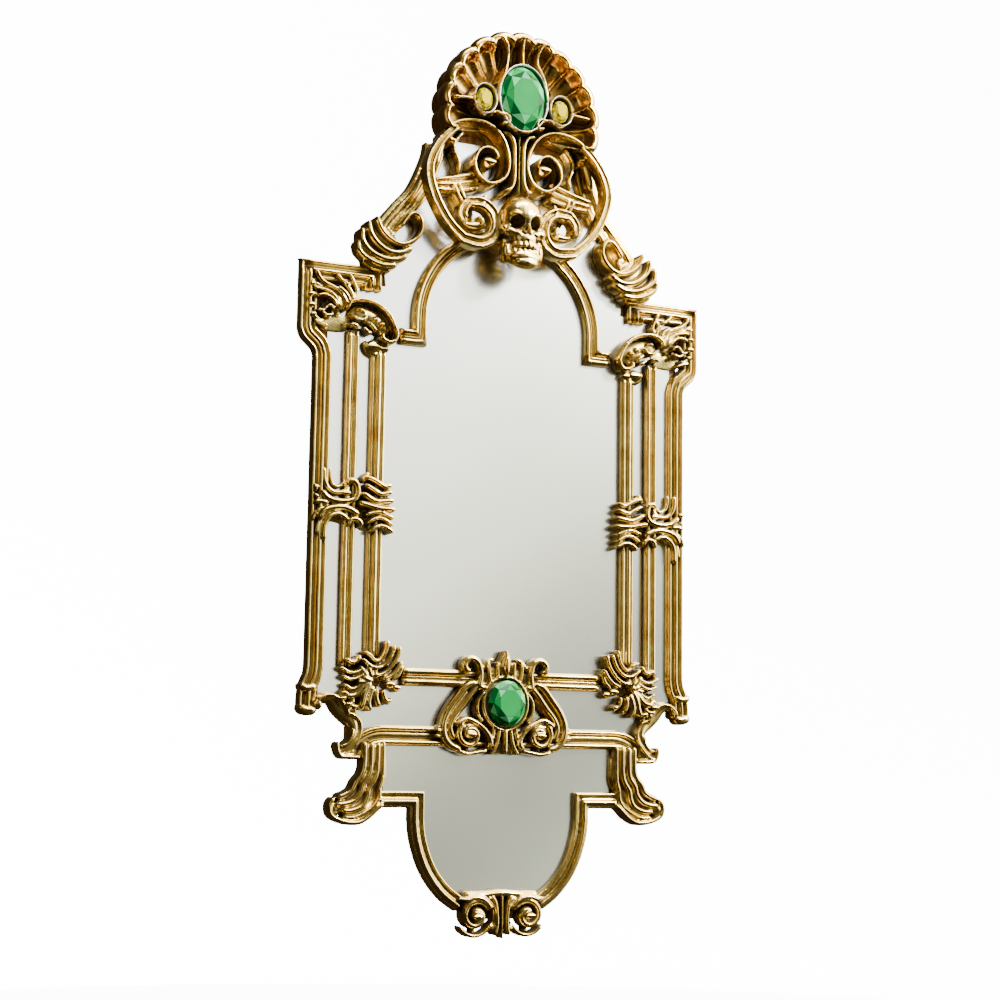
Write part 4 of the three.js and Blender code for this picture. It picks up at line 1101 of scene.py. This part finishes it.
# The ring is one wire: straight through the knuckle, up both sides and round the top.
ring_x = (ring_high[0] - ring_low[0]) / 2 - WIRE_R
bow_up = ring_high[1] - WIRE_R - ring_x
loop = [(-ring_x, bar_up), *arc(0, bow_up, ring_x, 180, 0, 24), (ring_x, bar_up)]
wire_line = bpy.data.curves.new("wire", "CURVE")
wire_line.dimensions = "3D"
wire_line.bevel_depth = WIRE_R * MM
wire_line.bevel_resolution = 5
spline_line = wire_line.splines.new("POLY")
spline_line.points.add(len(loop) - 1)
for point, (x, z) in zip(spline_line.points, loop):
    point.co = (*place(hanger_x + x, z, bar_depth), 1.0)
spline_line.use_cyclic_u = True
wire = bpy.data.objects.new("wire", wire_line)
bpy.context.collection.objects.link(wire)
select_only(wire)
bpy.ops.object.convert(target="MESH")
fit_pair("hanger_ring_bent", [bpy.context.object], "hanger_ring", zinc,
         ("hanger_ring_right_body", "hanger_ring_left_body"))

# ---- Turn buttons ----
# Stamped steel fingers that hold the back cover, each turning on a slotted screw, zinc plated like the
# hangers.
for level in ("upper", "lower"):
    button_low, button_high = extent(f"turn_button_{level}_right")
    button_up = (button_low[1] + button_high[1]) / 2
    half = (button_high[1] - button_low[1]) / 2
    finger_in = (button_low[2] + button_high[2]) / 2
    finger = slab((button_low[0], button_low[1], finger_in), button_high)
    round_corners(finger, half - 0.01)
    soften_edges(finger, 0.3, 2)
    pivot = screw(button_high[0] - half, button_up, finger_in - 0.3, 3.5, HEAD_H)
    fit_pair(f"turn_button_stamped_{level}", [finger, pivot], f"turn_button_{level}", zinc,
             (f"turn_button_{level}_right_body", f"turn_button_{level}_left_body"))

# ---- Rubber bumpers ----
# Moulded black rubber feet with a rolled edge and a sunk screw hole, which keep the mirror's foot off the
# wall.
rubber = material("moulded_black_rubber")
bloom = placed(rubber, "ShaderNodeTexNoise", {"Scale": 90.0, "Detail": 3.0})
rubber_tone = tones(rubber, (bloom, "Fac"), (0, "#19191a"), (1, "#2a2a2b"))
rubber_bump = node(rubber, "ShaderNodeBump", {"Strength": 0.2, "Distance": 0.0004},
                   {"Height": (bloom, "Fac")})
finish_with(rubber, {"Roughness": 0.75, "IOR": 1.52},
            {"Base Color": (rubber_tone, "Color"), "Normal": (rubber_bump, "Normal")})
pad = extent("bumper_right")
pad_x, pad_up = middle_of(pad, 0), middle_of(pad, 1)
ROLLED_EDGE, HOLE_R, HOLE_DEPTH = 1.4, 4.2, 3.8
bumper = turned(pad_x, pad_up, middle_of(pad, 2), (pad[1][0] - pad[0][0]) / 2, pad[1][2] - pad[0][2],
                sides=56)
soften_edges(bumper, ROLLED_EDGE, 4)
cut_out(bumper, turned(pad_x, pad_up, pad[0][2] + 1.2, HOLE_R, HOLE_DEPTH, sides=32))
fit_pair("bumper_moulded", [bumper], "bumper", rubber)

# ---- Studio ----
# A pale floor that curves up into a wall all round, three soft lights, a lit card for the plates, and the
# sky.
pale = material("matt_pale_paint")
speck = placed(pale, "ShaderNodeTexNoise", {"Scale": 4.0})
pale_tint = tones(pale, (speck, "Fac"), (0, "#f3f3f2"), (1, "#f8f8f7"))
finish_with(pale, {"Roughness": 0.9, "Emission Color": linear("#f6f9fb"), "Emission Strength": 14.0},
            {"Base Color": (pale_tint, "Color")})
FLOOR_DROP, FLOOR_R, CURVE_R, WALL_H = 0.45, 6.0, 2.5, 5.0
sweep = [math.radians(9 * k) for k in range(1, 11)]
rim = [(FLOOR_R - CURVE_R, 0.0), *[(FLOOR_R - CURVE_R + CURVE_R * math.sin(a), CURVE_R * (1 - math.cos(a)))
                                   for a in sweep], (FLOOR_R, WALL_H)]
SIDES = 96
built = bmesh.new()
rings = [[built.verts.new((r * math.cos(2 * math.pi * k / SIDES), r * math.sin(2 * math.pi * k / SIDES),
                           foot_z - FLOOR_DROP + h)) for k in range(SIDES)] for r, h in rim]
for inner, outer in zip(rings, rings[1:]):
    for k in range(SIDES):
        built.faces.new((inner[k], inner[(k + 1) % SIDES], outer[(k + 1) % SIDES], outer[k]))
built.faces.new(rings[0])
built.normal_update()
studio = object_of("floor", built)
built.free()
studio.data.materials.append(pale)
for face in studio.data.polygons:
    face.use_smooth = True
studio.visible_glossy = studio.visible_diffuse = False


def softbox(name, at, look_at, size, watts):
    bpy.ops.object.light_add(type="AREA", location=at)
    lamp = bpy.context.object
    lamp.name = name
    lamp.data.shape = "RECTANGLE"
    lamp.data.size, lamp.data.size_y = size
    lamp.data.energy = watts
    lamp.rotation_mode = "QUATERNION"
    lamp.rotation_quaternion = (Vector(at) - Vector(look_at)).to_track_quat("Z", "Y")
    return lamp


middle = place(0, 600, 0)
softbox("key_light", (2.2, -2.6, middle.z + 1.9), middle, (0.6, 0.6), 420)
softbox("fill_light", (-2.6, -2.6, middle.z + 0.9), middle, (2.0, 2.0), 14)
softbox("top_light", (0.2, -0.9, middle.z + 2.4), middle, (1.6, 0.5), 110)

# A lit card stands where the plates reflect it. It pales to the upper left, with a leaning band of light.
card_paint = material("lit_reflector_card")
lean = placed(card_paint, "ShaderNodeMapping", {"Rotation": (0.0, math.radians(38), 0.0)})
lean_parts = node(card_paint, "ShaderNodeSeparateXYZ", links={"Vector": (lean, "Vector")})
reach = node(card_paint, "ShaderNodeMapRange", {"From Min": -0.9, "From Max": 1.3},
             {"Value": (lean_parts, "Z")})
fade = tones(card_paint, (reach, "Result"), (0, "#a0a294"), (0.12, "#84867a"), (0.24, "#55574b"),
             (0.36, "#6f7163"),
             (0.46, "#a9ab98"), (0.54, "#dedfc8"), (0.62, "#c6c7b6"), (0.8, "#ecebe2"), (1, "#ffffff"))
card_glow = node(card_paint, "ShaderNodeEmission", {"Strength": 4.2}, {"Color": (fade, "Color")})
node(card_paint, "ShaderNodeOutputMaterial", links={"Surface": (card_glow, "Emission")})
CARD_W, CARD_H = 2.0, 3.2
bpy.ops.mesh.primitive_grid_add(x_subdivisions=4, y_subdivisions=4, size=1)
card = bpy.context.object
card.name = "reflector_card"
for v in card.data.vertices:
    v.co = Vector((v.co.x * CARD_W, 0, v.co.y * CARD_H))
card.location = place(1400, 560, 3000)
card.data.materials.append(card_paint)
card.visible_camera = card.visible_diffuse = card.visible_shadow = False
lit_by_card = bpy.data.collections.new("plates")
for name in plates:
    lit_by_card.objects.link(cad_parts[name])
card.light_linking.receiver_collection = lit_by_card

# The sky is bright above and to the front right, and dark below and to the left.
world = bpy.data.worlds.new("soft_sky")
bpy.context.scene.world = world
world.use_nodes = True
BRIGHT_SIDE = Vector((0.75, -0.35, 0.56)).normalized()
facing = node(world, "ShaderNodeTexCoord")
toward = node(world, "ShaderNodeVectorMath", {"operation": "DOT_PRODUCT", 1: BRIGHT_SIDE},
              {0: (facing, "Generated")})
height = node(world, "ShaderNodeMapRange", {"From Min": -1.0}, {"Value": (toward, "Value")})
greys = ((0.6, 0.1), (0.72, 0.26), (0.8, 0.6), (0.855, 1.5), (0.89, 5.0), (0.93, 13.0))
shade = tones(world, (height, "Result"), (0.3, (0.05, 0.035, 0.02, 1)),
              *[(at, (tone, tone, tone * 0.98, 1)) for at, tone in greys], (1, (17.0, 17.0, 15.5, 1)))
backdrop = world.node_tree.nodes["Background"]
backdrop.inputs["Strength"].default_value = 1.0
world.node_tree.links.new(shade.outputs["Color"], backdrop.inputs["Color"])
